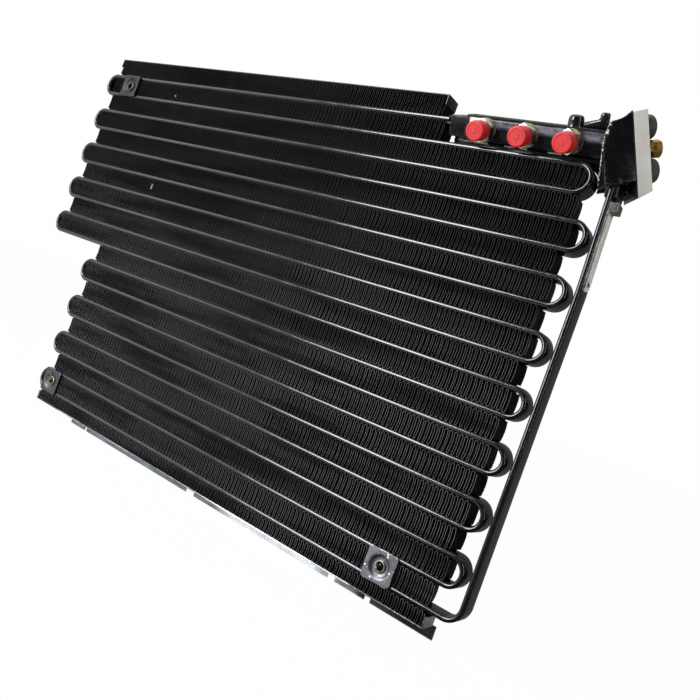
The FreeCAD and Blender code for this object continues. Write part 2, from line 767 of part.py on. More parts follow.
upper_z = pass_z(1) - pitch / 2.0
mounts = {
    "upper_left": (size("UpperMountX"), upper_z),
    "lower_left": (0.0, 0.0),
    "lower_right": (size("RightMountX"), 0.0),
}
spans = fin_spans()
finished = [make_serpentine()]
for number, span in enumerate(spans, start=1):
    reliefs = [relief(f"{name}_relief", x, z) for name, (x, z) in mounts.items()
               if span[2] < z < span[3]]
    finished.append(make_fin(number, span, reliefs))
finished.append(make_top_plate(spans[0]))
finished.append(make_bottom_rail(spans[-1]))
plates, inserts = zip(*(make_mount(name, x, z) for name, (x, z) in mounts.items()))
finished += [group("mount_plates", list(plates)), group("threaded_inserts", list(inserts))]
finished += [make_bar(), make_adapter(), make_boss(), make_gusset()]
fittings, caps = zip(*(make_fitting(number) for number in range(1, int(size("FittingCount")) + 1)))
finished += [*fittings, group("fitting_caps", list(caps))]
finished += [make_casting(), make_flange()]
finished.append(make_plug("lower_port_plug", size("LowerPortHeight")))
finished.append(make_plug("upper_port_plug", upper_port_height()))
finished += [make_screw(), make_stay()]
doc.recompute()

for item in doc.Objects:
    if "Invalid" in item.State or "Error" in item.State:
        raise RuntimeError(f"{item.Label} did not build: {item.State}")
for piece in finished:
    if piece.Shape.isNull() or not piece.Shape.isValid():
        raise RuntimeError(f"{piece.Label} has no valid shape")

os.makedirs("parts", exist_ok=True)
for piece in finished:
    piece.Shape.exportStep(f"parts/{piece.Label}.step")
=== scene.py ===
import random
from math import atan2, copysign, cos, pi, radians, sin, sqrt, tan, tau

import bmesh
import bpy
from bpy.props import (
    FloatProperty,
    FloatVectorProperty,
    IntProperty,
    PointerProperty,
)
from bpy.types import Operator, Panel, PropertyGroup
from mathutils import Matrix, Vector


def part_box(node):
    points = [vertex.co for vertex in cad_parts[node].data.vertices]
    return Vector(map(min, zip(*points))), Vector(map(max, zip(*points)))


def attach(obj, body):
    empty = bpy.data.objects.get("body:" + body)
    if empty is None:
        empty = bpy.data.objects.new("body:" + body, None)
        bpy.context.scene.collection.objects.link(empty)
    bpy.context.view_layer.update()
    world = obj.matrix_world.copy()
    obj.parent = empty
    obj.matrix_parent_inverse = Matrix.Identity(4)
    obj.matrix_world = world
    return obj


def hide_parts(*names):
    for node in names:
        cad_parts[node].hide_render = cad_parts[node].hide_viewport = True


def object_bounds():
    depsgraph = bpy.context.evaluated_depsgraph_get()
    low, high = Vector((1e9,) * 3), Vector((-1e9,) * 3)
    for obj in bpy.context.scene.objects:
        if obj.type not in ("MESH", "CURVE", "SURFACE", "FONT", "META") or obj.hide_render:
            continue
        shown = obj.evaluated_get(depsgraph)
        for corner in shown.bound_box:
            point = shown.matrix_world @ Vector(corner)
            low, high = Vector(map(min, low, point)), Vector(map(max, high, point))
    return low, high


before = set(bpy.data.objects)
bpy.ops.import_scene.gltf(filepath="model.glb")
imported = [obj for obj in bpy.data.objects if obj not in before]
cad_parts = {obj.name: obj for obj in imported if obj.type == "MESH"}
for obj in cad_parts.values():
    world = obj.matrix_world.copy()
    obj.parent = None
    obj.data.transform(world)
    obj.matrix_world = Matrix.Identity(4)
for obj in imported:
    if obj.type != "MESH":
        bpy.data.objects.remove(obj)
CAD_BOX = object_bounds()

bl_info = {
    "name": "Condenser",
    "version": (1, 0, 0),
    "blender": (4, 5, 0),
    "location": "3D View > Sidebar > Condenser",
    "description": "Dresses the packed air-conditioning condenser and sets its studio",
    "category": "Object",
}

MM = 0.001
PASS_COUNT = 18
STEP_PASS = 10  # last pass whose left bend stands further out

# Bend centres in X: left ones above and below the step, the first right one and the others
LEFT_BEND = -0.0985
STEPPED_BEND = -0.0115
FIRST_RIGHT_BEND = 0.5495
RIGHT_BEND = 0.562
STRIP_END = 0.553  # where the solids' strips inside the right bends end
FIN_PLAY = 0.0003  # between a strip's round end and the bend
SECOND_REACH = 0.0065  # of the second strip, past its solid
DISH_GAP = 0.0098  # half width of a strip's set-back front behind a dish
DISH_SETBACK = 0.0108

HEADER_TILT = radians(27.0)
HEADER_Y = 0.01
HEADER_DROP = 0.0024  # the bar's axis, below the first pass
BAR_END = 0.5652
FITTINGS = (0.4543, 0.0406)  # the first one's X, and the pitch
FACING = Matrix.Rotation(radians(90.0), 4, "X")  # Z turned to the front

MOUNTS = ((-0.0615, 0.384), (0.0, 0.0), (0.505, 0.0))  # x, z
FLECKS = ((0.0284, 0.3802, 0.0014, 0.001), (0.0457, 0.2649, 0.0009, 0.0036))  # x, z, half sizes
BARE_DASHES = ((0.433, 0.458), (0.474, 0.496), (0.515, 0.528))  # along the bar's lower edge
DUST_COLOUR = (0.1, 0.095, 0.085)

LAMPS = (  # name, place, aim, width, height, watts
    ("window", (-0.66, -1.75, 0.8), (0.25, 0.0, 0.2), 0.6, 1.9, 80.0),
    ("side_window", (-1.42, -1.42, 0.7), (0.25, 0.0, 0.2), 0.75, 1.7, 9.0),
    ("riser_strip", (2.0, -0.45, 0.76), (0.58, 0.0, 0.2), 0.1, 1.6, 8.0),
    ("ceiling", (0.3, 0.3, 2.2), (0.25, 0.0, 0.2), 1.4, 1.4, 5.0),
)


def colour(label, default, text):
    """A paint or metal colour that the panel shows."""
    return FloatVectorProperty(
        name=label, description=text, default=default, size=3, min=0.0, max=1.0, subtype="COLOR"
    )


def length(label, default, text):
    """A size in metres that the panel shows."""
    return FloatProperty(name=label, description=text, default=default, min=0.0, unit="LENGTH")


class CondenserSizes(PropertyGroup):
    pass_pitch: length("Pass pitch", 0.024, "From one pass of the tube to the next")
    tube_thickness: length("Tube thickness", 0.0048, "Flat tube, across its flats")
    tube_depth: length("Tube depth", 0.02, "Flat tube, front to back")
    bend_steps: IntProperty(name="Bend steps", description="Facets round each bend", default=30, min=8)
    corner_radius: length("Corner radius", 0.014, "Bend from the last pass into the riser")
    knee_radius: length("Knee radius", 0.26, "Bend below the riser's leaning top")
    fin_period: length("Fin period", 0.0048, "Fin strips, from one crest to the next on the same side")
    fin_pairing: FloatProperty(name="Fin pairing", description="Share of the period inside a fold",
                               default=0.42, min=0.2, max=0.8)
    fin_sheet: length("Fin sheet", 0.00042, "Sheet of the fins")
    fin_bow: length("Fin bow", 0.00062, "How far the fin walls are bowed by the brazing load")
    fin_scatter: length("Fin scatter", 0.00013, "Uneven spacing of the fin walls")
    fin_skew: length("Fin skew", 0.0016, "How far the back edges of the fin walls stray sideways")
    fin_reach: length("Fin reach", 0.0058, "Fin folds pressed into the right bends")
    edge_ease: length("Eased edges", 0.0004, "Round on the edges of bent sheet")
    cast_ease: length("Cast edges", 0.0012, "Round on the edges of castings")
    thread_pitch: length("Thread pitch", 0.00125, "Threads of inserts and fittings")


class CondenserColours(PropertyGroup):
    paint: colour("Black paint", (0.003, 0.0032, 0.004), "Gloss paint on tube, bar and casting")
    paint_dull: colour("Dull paint", (0.0095, 0.0095, 0.011), "The same paint where it is thin")
    fin: colour("Fin paint", (0.0028, 0.0029, 0.0034), "Satin paint on the fins")
    fin_warm: colour("Warm fin paint", (0.0062, 0.005, 0.0044), "Its brownish patches")
    # The fins' front edges are lighter grey where they face the front: painted sheen, with some wear.
    fin_edge_sheen: colour("Fin edges", (0.084, 0.084, 0.09), "Front edges of the fins, rubbed grey")
    bare: colour("Bare aluminium", (0.45, 0.455, 0.43), "Hose flange and stay")
    stain: colour("Stained aluminium", (0.4, 0.385, 0.335), "Its darker patches")
    rail: colour("Rail metal", (0.078, 0.093, 0.102), "Flange of the bottom rail")
    rail_bright: colour("Bright rail metal", (0.8, 0.83, 0.86), "Where the rail is bare")
    mount: colour("Mounting plates", (0.165, 0.17, 0.18), "Pressed mounting plates")
    zinc: colour("Zinc", (0.62, 0.57, 0.43), "Fittings and inserts")
    zinc_dark: colour("Dull zinc", (0.2, 0.17, 0.095), "Their olive patches")
    cap: colour("Cap plastic", (0.44, 0.009, 0.012), "Protective caps")
    rubber: colour("Rubber", (0.03, 0.03, 0.031), "Port plugs")
    brass: colour("Brass", (0.5, 0.3, 0.065), "Screw between the ports")
    chalk: colour("Flux and scuffs", (0.62, 0.6, 0.55), "Bare scuffs on the header")
    floor: colour("Floor", (0.86, 0.86, 0.85), "Studio floor")


# Mesh code


def sizes():
    return bpy.context.scene.condenser_sizes


def colours():
    return bpy.context.scene.condenser_colours


def finish_piece(name, bm, look, *replaced, smooth=35.0):
    """Turns a bmesh into a piece that rides on the frame and stands for its CAD nodes."""
    material, slot = look()
    bmesh.ops.remove_doubles(bm, verts=bm.verts, dist=1e-7)
    bmesh.ops.dissolve_degenerate(bm, dist=1e-7, edges=bm.edges)
    bmesh.ops.recalc_face_normals(bm, faces=bm.faces)
    mesh = bpy.data.meshes.new(name)
    bm.to_mesh(mesh)
    bm.free()
    mesh.shade_smooth()
    mesh.set_sharp_from_angle(angle=radians(smooth))
    mesh.materials.append(material)
    piece = bpy.data.objects.new(name, mesh)
    bpy.context.scene.collection.objects.link(piece)
    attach(piece, "root")
    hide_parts(*replaced)


def skin(bm, rings, close=False):
    """Quads between closed rings of points; the row of rings is closed too, or has end faces."""
    made = [[bm.verts.new(point) for point in ring] for ring in rings]
    count = len(made[0])
    pairs = list(zip(made, made[1:]))
    if close:
        pairs.append((made[-1], made[0]))
    for near, far in pairs:
        for k in range(count):
            bm.faces.new((near[k - 1], near[k], far[k], far[k - 1]))
    if not close:
        bm.faces.new(made[0][::-1])
        bm.faces.new(made[-1])


def revolve(bm, place, stations, segments=48, close=False, first=0.0):
    """Turns stations about the place's Z; each is (radius, height) in mm, or gives that by angle."""
    rings = []
    for station in stations:
        ring = []
        for k in range(segments):
            angle = tau * (k + first) / segments
            radius, height = station(angle) if callable(station) else station
            point = Vector((radius * cos(angle), radius * sin(angle), height))
            ring.append(place @ (point * MM))
        rings.append(ring)
    skin(bm, rings, close)


def rounded_row(half_long, half_short, steps):
    """Outline of a flat section with round noses: (across, along) pairs."""
    row = []
    for side in (-1, 1):
        for k in range(steps + 1):
            angle = pi * k / steps
            row.append((-side * half_short * cos(angle),
                        side * (half_long - half_short + half_short * sin(angle))))
    return row


def hex_stations(across, low, high, turned=0.0):
    """Stations of a hexagon whose corners are turned down by a cone at both ends."""
    rim = across / 2.0 * 0.97
    slope = tan(radians(30.0))
    sixth = pi / 3.0

    def radius(angle):
        return across / 2.0 / cos((angle - turned) % sixth - sixth / 2.0)

    return [
        (rim, low),
        lambda a: (radius(a), low + (radius(a) - rim) * slope),
        lambda a: (radius(a), high - (radius(a) - rim) * slope),
        (rim, high),
    ]


def thread_stations(radius, depth, low, high):
    """Stations of a helical thread at the panel's pitch."""
    pitch = sizes().thread_pitch / MM
    steps = max(4, int((high - low) / pitch * 6))

    def station(height):
        def at(angle):
            turn = (height / pitch - angle / tau) % 1.0
            return radius - depth * (1.0 - abs(2.0 * turn - 1.0)), height
        return at
    return [station(low + (high - low) * k / steps) for k in range(steps + 1)]


def plate_radius(angle, half_w=15.0, half_h=14.2, corner=2.2):
    """Radius of a mounting plate, a rectangle with round corners, by angle."""
    c, s = abs(cos(angle)), abs(sin(angle))
    reach = min(half_w / max(c, 1e-9), half_h / max(s, 1e-9))
    cx, cy = half_w - corner, half_h - corner
    if reach * c > cx and reach * s > cy:
        along = cx * c + cy * s
        off = cx * cx + cy * cy - corner * corner
        reach = along + sqrt(max(0.0, along * along - off))
    return reach


def ease_edges(bm, width, segments, limit=25.0):
    """Rounds every edge sharper than the limit."""
    sharp = [e for e in bm.edges
             if len(e.link_faces) == 2 and e.calc_face_angle(0.0) > radians(limit)]
    bmesh.ops.bevel(bm, geom=sharp, offset=width, segments=segments, profile=0.5,
                    affect="EDGES", clamp_overlap=True)


def eased(name, node, look, width, segments=2):
    """The CAD node's own form with its edges rounded."""
    bm = bmesh.new()
    bm.from_mesh(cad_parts[node].data)
    bmesh.ops.remove_doubles(bm, verts=bm.verts, dist=2e-6)
    bmesh.ops.dissolve_limit(bm, angle_limit=radians(1.0), verts=bm.verts, edges=bm.edges)
    ease_edges(bm, width, segments)
    finish_piece(name, bm, look, node)


def rectangle(left, right, low, high):
    return [(left, low), (right, low), (right, high), (left, high)]


def extrude_outline(bm, place, outline, low, high):
    """A prism in mm over an outline in the place's XZ plane, between two depths along its Y."""
    near = [bm.verts.new(place @ (Vector((x, low, z)) * MM)) for x, z in outline]
    far = [bm.verts.new(place @ (Vector((x, high, z)) * MM)) for x, z in outline]
    bm.faces.new(near)
    bm.faces.new(far[::-1])
    for k in range(len(outline)):
        bm.faces.new((near[k - 1], far[k - 1], far[k], near[k]))


def ease_prisms(bm, width, segments):
    """Rounds the edges of prisms once their faces look outwards."""
    bmesh.ops.recalc_face_normals(bm, faces=bm.faces)
    ease_edges(bm, width, segments)


# Places that the pieces share


def pass_z(number):
    pitch = sizes().pass_pitch
    return -pitch / 2.0 + (PASS_COUNT - number) * pitch


def bend_centre(number):
    """X of the bend after a pass; it is at the left after an odd one."""
    if number % 2 == 1:
        return LEFT_BEND if number <= STEP_PASS else STEPPED_BEND
    return FIRST_RIGHT_BEND if number == 2 else RIGHT_BEND


def header_origin(x):
    return Vector((x, HEADER_Y, pass_z(1) - HEADER_DROP))


def header_up(x, up=0.0, out=0.0):
    """A place on the bar, its Z up across the fittings."""
    tilt = Matrix.Rotation(HEADER_TILT, 4, "X")
    return Matrix.Translation(header_origin(x)) @ tilt @ Matrix.Translation((0.0, -out, up))


def block_place():
    """Frame of the hose block: X out of the hose face, Y back, Z along its length."""
    turn = Matrix.Rotation(radians(34.0), 4, "Z") @ Matrix.Rotation(radians(-23.0), 4, "Y")
    return Matrix.Translation((0.581, 0.01, 0.349)) @ turn


def hose_face(height):
    """A place on the hose face, its Z out of the face."""
    out = Matrix.Rotation(radians(90.0), 4, "Y")
    return block_place() @ Matrix.Translation((0.0295, 0.0045, height)) @ out


# Materials


class Wires:
    """Adds nodes to a tree; what goes into them is a value or another node's socket."""

    def __init__(self, tree):
        self.tree = tree

    @property
    def point(self):
        """Coordinates on the part."""
        return self.put("ShaderNodeTexCoord").outputs["Object"]

    @property
    def facing(self):
        """Direction that the surface faces."""
        return self.put("ShaderNodeNewGeometry").outputs["Normal"]

    def put(self, kind, inputs=None, **settings):
        node = self.tree.nodes.new(kind)
        for key, value in settings.items():
            setattr(node, key, value)
        for key, value in (inputs or {}).items():
            if isinstance(value, bpy.types.NodeSocket):
                self.tree.links.new(value, node.inputs[key])
            else:
                node.inputs[key].default_value = value
        return node

    def calc(self, operation, first, *others, clamp=False):
        """Joins values by one operation, from the left; a clamp acts on the last result."""
        for other in others:
            node = self.put("ShaderNodeMath", {0: first, 1: other}, operation=operation)
            first = node.outputs[0]
        node.use_clamp = clamp
        return first

    def times(self, *values, clamp=False):
        return self.calc("MULTIPLY", *values, clamp=clamp)

    def most(self, *values):
        return self.calc("MAXIMUM", *values)

    def vector(self, operation, first, second=(0.0, 0.0, 0.0)):
        node = self.put("ShaderNodeVectorMath", {0: first, 1: second}, operation=operation)
        return node.outputs["Value" if operation in ("LENGTH", "DOT_PRODUCT") else "Vector"]

    def ramp(self, value, low, high, to_low=0.0, to_high=1.0):
        """Maps a value between two limits, smoothly and clamped."""
        inputs = {"Value": value, "From Min": low, "From Max": high, "To Min": to_low, "To Max": to_high}
        return self.put("ShaderNodeMapRange", inputs, interpolation_type="SMOOTHSTEP").outputs["Result"]

    def noise(self, point, scale, detail, roughness=0.5):
        inputs = {"Vector": point, "Scale": scale, "Detail": detail, "Roughness": roughness}
        return self.put("ShaderNodeTexNoise", inputs).outputs["Fac"]

    def axis(self, axis, vector=None):
        """A coordinate on the part, or a component of another vector."""
        return self.put("ShaderNodeSeparateXYZ", {0: vector or self.point}).outputs[axis]


def shared_group(name, results, **inputs):
    """Makes a node group of the function below it, the first time that it is asked for."""
    def wrap(fill):
        def get():
            if name in bpy.data.node_groups:
                return bpy.data.node_groups[name]
            tree = bpy.data.node_groups.new(name, "ShaderNodeTree")
            for label, value in inputs.items():
                kind = "NodeSocketVector" if isinstance(value, tuple) else "NodeSocketFloat"
                socket = tree.interface.new_socket(name=label, in_out="INPUT", socket_type=kind)
                socket.default_value = value
            for label in results:
                tree.interface.new_socket(name=label, in_out="OUTPUT", socket_type="NodeSocketFloat")
            given = tree.nodes.new("NodeGroupInput").outputs
            taken = tree.nodes.new("NodeGroupOutput").inputs
            for label, value in zip(results, fill(Wires(tree), given)):
                tree.links.new(value, taken[label])
            return tree
        return get
    return wrap


@shared_group("Mottle", ("Mask", "Height"), Scale=60.0, Stretch=(1.0, 1.0, 1.0), Low=0.4, High=0.65)
def mottle_group(g, given):
    """Blotches: a mask between two levels of stretched noise, and the noise itself."""
    point = g.vector("MULTIPLY", g.point, given["Stretch"])
    height = g.noise(point, given["Scale"], 5.0, 0.62)
    return g.ramp(height, given["Low"], given["High"]), height


@shared_group("Edge wear", ("Mask",), Width=0.0008, Breakup=400.0, Amount=0.5)
def wear_group(g, given):
    """Rubbed edges: where the rounded normal leaves the true one, broken up by noise."""
    soft = g.put("ShaderNodeBevel", {"Radius": given["Width"]}, samples=4).outputs[0]
    true = g.put("ShaderNodeNewGeometry").outputs["True Normal"]
    edge = g.ramp(g.vector("DOT_PRODUCT", soft, true), 0.995, 0.9)
    patch = g.ramp(g.noise(g.point, given["Breakup"], 4.0), 0.42, 0.6)
    return (g.times(edge, patch, given["Amount"]),)


@shared_group("Dust", ("Mask",), Scale=120.0, Amount=0.2)
def dust_group(g, given):
    """Dust that lies on what faces up, thicker in patches."""
    lying = g.ramp(g.axis("Z", g.facing), 0.1, 0.95)
    patch = g.ramp(g.noise(g.point, given["Scale"], 6.0), 0.35, 0.7)
    return (g.times(lying, patch, given["Amount"]),)


@shared_group("Specks", ("Mask",), Scale=90.0, Size=0.09, Share=0.08)
def speck_group(g, given):
    """Small scattered chips and specks."""
    cells = g.put("ShaderNodeTexVoronoi", {"Vector": g.point, "Scale": given["Scale"]}).outputs
    near = g.calc("LESS_THAN", cells["Distance"], given["Size"])
    pick = g.calc("LESS_THAN", g.axis("X", cells["Color"]), given["Share"])
    return (g.times(near, pick),)


class Finish(Wires):
    """A material in the making: masks lay colours over its base, and heights give it relief."""

    def __init__(self, name, roughness, metallic=0.0, specular=0.5):
        self.material = bpy.data.materials.new(name)
        self.material.use_nodes = True
        super().__init__(self.material.node_tree)
        self.shader = self.tree.nodes["Principled BSDF"]
        self.set("Roughness", roughness)
        self.set("Metallic", metallic)
        self.set("Specular IOR Level", specular)
        self.top = None
        self.bumped = None

    def set(self, socket, value):
        self.shader.inputs[socket].default_value = value

    def link(self, socket, value):
        self.tree.links.new(value, self.shader.inputs[socket])

    def use(self, group, **values):
        """Places a shared group, with the material's own values."""
        inputs = {name.title(): value for name, value in values.items()}
        return self.put("ShaderNodeGroup", inputs, node_tree=group).outputs

    def mottle(self, **values):
        return self.use(mottle_group(), **values)

    def specks(self, **values):
        return self.use(speck_group(), **values)["Mask"]

    def dust(self, **values):
        return self.use(dust_group(), **values)["Mask"]

    def wear(self, **values):
        return self.use(wear_group(), **values)["Mask"]

    def paint(self, colour, mask=None):
        """Lays a colour by a mask over those before it; it is a colour of the panel or its values."""
        values = (*(getattr(colours(), colour) if isinstance(colour, str) else colour), 1.0)
        if mask:
            values = self.put("ShaderNodeMix", {0: mask, 6: self.top, 7: values}, data_type="RGBA").outputs[2]
            self.link("Base Color", values)
        self.top = values

    def grain(self, strength, distance, scale=900.0):
        """Fine unevenness."""
        self.relief(self.mottle(scale=scale)["Height"], strength, distance)

    def rough(self, height, low, high):
        """Roughness between two values, by a mottle's height."""
        self.link("Roughness", self.ramp(height, 0.3, 0.7, low, high))

    def relief(self, height, strength, distance):
        """Adds a bump on top of those before it."""
        inputs = {"Height": height, "Strength": strength, "Distance": distance}
        if self.bumped:
            inputs["Normal"] = self.bumped
        self.bumped = self.put("ShaderNodeBump", inputs).outputs[0]
        self.link("Normal", self.bumped)


def finish(name, slot, roughness, **settings):
    """Makes a material of the function below it when first asked, and gives it with its slot."""
    def wrap(dress):
        def get():
            full = f"{name}_finish"
            if full not in bpy.data.materials:
                dress(Finish(full, roughness, **settings))
            return bpy.data.materials[full], slot
        return get
    return wrap


@finish("gloss_black_paint", "black_paint", 0.2)
def paint_finish(f):
    """Gloss black paint with thin patches, chips and dust."""
    cloud = f.mottle(scale=55.0, low=0.42, high=0.72)
    dust = f.dust(scale=160.0, amount=0.1)
    f.paint("paint")
    f.paint("paint_dull", cloud["Mask"])
    f.paint(DUST_COLOUR, dust)
    f.paint((0.16, 0.16, 0.16), f.wear(width=0.0006, breakup=500.0, amount=0.06))
    f.paint("chalk", f.specks(scale=60.0, size=0.05, share=0.05))
    f.link("Roughness", f.calc("ADD", f.ramp(cloud["Height"], 0.3, 0.75, 0.09, 0.2), dust))
    f.grain(0.1, 0.00012)
    f.relief(cloud["Height"], 0.25, 0.0006)


@finish("satin_black_fins", "fin_black", 0.42, specular=0.03)
def fin_finish(f):
    """Satin black fins: warm patches, front edges lighter with painted sheen and some wear, more below,
    louvre lines and two flecks.
    """
    fine = f.mottle(scale=420.0)["Height"]
    strips = f.mottle(scale=9.0, low=0.36, high=0.6, stretch=(0.5, 1.0, 6.0))
    # Painted sheen and wear on the front edges: strongest low down, weaker above, in patches.
    sheen_and_rub = f.times(f.ramp(f.axis("Z"), 0.1, 0.34, 1.0, 0.22),
                     f.ramp(strips["Mask"], 0.0, 1.0, 0.4, 1.15))
    edge = f.times(f.ramp(f.axis("Y", f.facing), -0.55, -0.95),
                   f.ramp(fine, 0.3, 0.65, 0.78, 1.0))
    f.paint("fin")
    f.paint("fin_warm", f.mottle(scale=22.0, low=0.45, high=0.62)["Mask"])
    # Lighter grey front edges: painted sheen with some wear.
    f.paint("fin_edge_sheen", f.times(edge, sheen_and_rub, clamp=True))
    for x, z, wide, tall in FLECKS:
        off = f.vector("SUBTRACT", f.point, (x, 0.0, z))
        off = f.vector("MULTIPLY", off, (1.0 / wide, 0.0, 1.0 / tall))
        f.paint("chalk", f.calc("LESS_THAN", f.vector("LENGTH", off), 1.0))
    louvres = f.put("ShaderNodeTexWave", {"Vector": f.point, "Scale": 110.0, "Distortion": 0.4},
                    wave_type="BANDS", bands_direction="Y")
    f.rough(fine, 0.32, 0.5)
    f.relief(louvres.outputs["Fac"], 0.35, 0.0004)


@finish("header_paint", "black_paint", 0.2, specular=0.14)
def bar_finish(f):
    """The header's paint: a pale blotchy band along its front face, a painted reflection on blotchy paint;
    pale patches at a corner and along the lower edge, and weld chips.
    """
    middle = f.vector("SUBTRACT", f.point, header_origin(0.0))
    turned = f.put("ShaderNodeVectorRotate", {"Vector": middle, "Angle": -HEADER_TILT},
                   rotation_type="X_AXIS").outputs[0]
    along, out, up = (f.axis(axis, turned) for axis in "XYZ")
    blotch = f.mottle(scale=95.0, low=0.36, high=0.62, stretch=(0.6, 1.0, 1.5))
    chips = f.mottle(scale=520.0, low=0.5, high=0.56)
    on_bar = f.ramp(along, 0.5655, 0.564)
    front = f.ramp(out, -0.0088, -0.0098)
    # Painted reflection: a pale blotchy band along the front face, on blotchy paint.
    reflection_band = f.times(f.ramp(up, 0.001, 0.0048), f.ramp(up, 0.0108, 0.0096), front,
                   f.ramp(along, 0.436, 0.448), on_bar, f.ramp(blotch["Height"], 0.38, 0.62, 0.15, 1.0))
    corner = f.times(f.ramp(along, 0.4515, 0.449), f.ramp(up, 0.0035, 0.005), front,
                     f.ramp(along, 0.4365, 0.4385))
    dashes = [f.times(f.calc("GREATER_THAN", along, first), f.calc("LESS_THAN", along, last))
              for first, last in BARE_DASHES]
    low_edge = f.times(f.ramp(up, -0.0103, -0.0108), f.ramp(up, -0.0126, -0.012),
                       f.ramp(blotch["Height"], 0.3, 0.45), f.ramp(out, -0.006, -0.0085),
                       f.most(*dashes))
    weld = f.times(f.ramp(along, 0.5635, 0.565), f.ramp(along, 0.5686, 0.5672), chips["Mask"])
    f.paint("paint")
    f.paint("paint_dull", f.times(blotch["Mask"], on_bar))
    f.paint(DUST_COLOUR, f.dust(scale=140.0, amount=0.35))
    # Pale band: painted reflection.
    f.paint((0.135, 0.13, 0.155), reflection_band)
    f.paint((0.3, 0.29, 0.28), f.wear(width=0.0008, breakup=300.0, amount=0.55))
    f.paint("chalk", f.most(corner, low_edge, weld))
    f.rough(blotch["Height"], 0.16, 0.34)
    f.grain(0.12, 0.00015)


@finish("bare_aluminium", "bare_aluminium", 0.58, metallic=0.25)
def bare_finish(f):
    """Bare machined aluminium with stains and tool marks, with painted shade where it faces the casting."""
    marks = f.mottle(scale=140.0, stretch=(1.0, 1.0, 9.0))["Height"]
    pits = f.specks(scale=210.0, size=0.16, share=0.1)
    stains = f.times(f.mottle(scale=38.0, low=0.38, high=0.7)["Mask"], 0.45)
    foot = f.times(f.ramp(f.axis("Z"), 0.385, 0.366), 0.75)
    painted_shade_facing = block_place().to_3x3() @ Vector((-1.0, 0.0, 0.0))
    f.paint("bare")
    f.paint("stain", f.most(stains, foot))
    f.paint((0.3, 0.28, 0.25), pits)
    # Painted shade: nearly black where the flange faces the casting.
    f.paint((0.012, 0.012, 0.012), f.ramp(f.vector("DOT_PRODUCT", f.facing, painted_shade_facing), 0.6, 0.85))
    f.rough(marks, 0.36, 0.56)
    f.relief(marks, 0.12, 0.0002)
    f.relief(pits, -0.3, 0.0002)


@finish("dull_aluminium", "bare_aluminium", 0.5, metallic=0.1)
def dull_finish(f):
    """Dull, stained aluminium strap with paint mist, a black front edge and a dark lug."""
    cloud = f.mottle(scale=70.0, low=0.36, high=0.66, stretch=(1.0, 1.0, 0.4))
    fine = f.mottle(scale=500.0, low=0.42, high=0.62)
    f.paint((0.78, 0.77, 0.72))
    f.paint((0.62, 0.6, 0.54), cloud["Mask"])
    f.paint((0.07, 0.062, 0.052), f.ramp(f.axis("Z"), 0.334, 0.3375))
    f.paint((0.008, 0.008, 0.009), f.ramp(f.axis("Y", f.facing), -0.6, -0.85))
    f.paint((0.14, 0.13, 0.12), f.times(fine["Mask"], 0.35))
    f.paint("bare", f.wear(width=0.0007, breakup=300.0, amount=0.8))
    f.rough(cloud["Height"], 0.42, 0.62)
    f.relief(fine["Height"], 0.2, 0.0002)


@finish("rail_metal", "rail_metal", 0.45, metallic=0.85)
def rail_finish(f):
    """Rail sheet: blue-grey overspray, thin in the middle, dark at both ends; a pale end face."""
    along = f.axis("X")
    cloud = f.mottle(scale=46.0, low=0.36, high=0.66, stretch=(0.5, 1.0, 2.0))
    fine = f.mottle(scale=620.0, low=0.42, high=0.66)
    middle = f.times(f.ramp(along, 0.285, 0.33), f.ramp(along, 0.452, 0.425), 0.85)
    thin = f.calc("ADD", middle, f.times(cloud["Mask"], 0.22), clamp=True)
    late = f.times(f.ramp(along, 0.43, 0.45), f.ramp(along, 0.488, 0.478), 0.45)
    dark = f.times(f.most(f.ramp(along, 0.478, 0.49), f.ramp(along, 0.036, 0.028)), 0.8)
    wear = f.wear(width=0.0008, breakup=350.0, amount=0.35)
    f.paint("rail")
    f.paint("rail_bright", f.most(thin, late))
    f.paint((0.03, 0.035, 0.045), dark)
    f.paint((0.09, 0.1, 0.115), f.times(fine["Mask"], 0.35))
    f.paint("rail_bright", f.times(wear, f.ramp(along, 0.028, 0.036)))
    f.paint((0.62, 0.59, 0.53), f.ramp(f.axis("X", f.facing), 0.8, 0.95))
    f.rough(cloud["Height"], 0.36, 0.56)
    f.relief(fine["Height"], 0.15, 0.0002)


@finish("mount_metal", "mount_metal", 0.35, metallic=1.0)
def mount_finish(f):
    """Pressed bare plate: blotchy, pitted, darker to the left and above."""
    blotch = f.mottle(scale=130.0, low=0.38, high=0.66)
    fine = f.mottle(scale=700.0, low=0.4, high=0.66)
    darker_left_and_above = f.most(f.ramp(f.axis("X"), 0.3, 0.1, 0.0, 0.65), f.ramp(f.axis("Z"), 0.1, 0.3, 0.0, 0.97))
    f.paint("mount")
    f.paint((0.1, 0.103, 0.115), blotch["Mask"])
    f.paint((0.06, 0.06, 0.07), f.times(fine["Mask"], 0.4))
    f.paint((0.7, 0.7, 0.72), f.wear(width=0.0009, breakup=260.0, amount=0.55))
    f.paint((0.8, 0.8, 0.81), f.specks(scale=330.0, size=0.26, share=0.26))
    # Nearly black to the left and above.
    f.paint((0.022, 0.022, 0.024), darker_left_and_above)
    f.rough(blotch["Height"], 0.3, 0.52)
    f.relief(blotch["Height"], 0.35, 0.0004)
    f.relief(fine["Height"], 0.2, 0.0002)


@finish("zinc_plating", "zinc", 0.3, metallic=1.0)
def zinc_finish(f):
    """Yellowed zinc plating with olive patches."""
    patch = f.mottle(scale=150.0, low=0.45, high=0.62)
    f.paint("zinc")
    f.paint("zinc_dark", f.times(patch["Mask"], 0.7))
    f.paint((0.88, 0.85, 0.74), f.wear(width=0.0007, breakup=420.0, amount=0.9))
    f.rough(patch["Height"], 0.22, 0.42)
    f.grain(0.12, 0.0001)


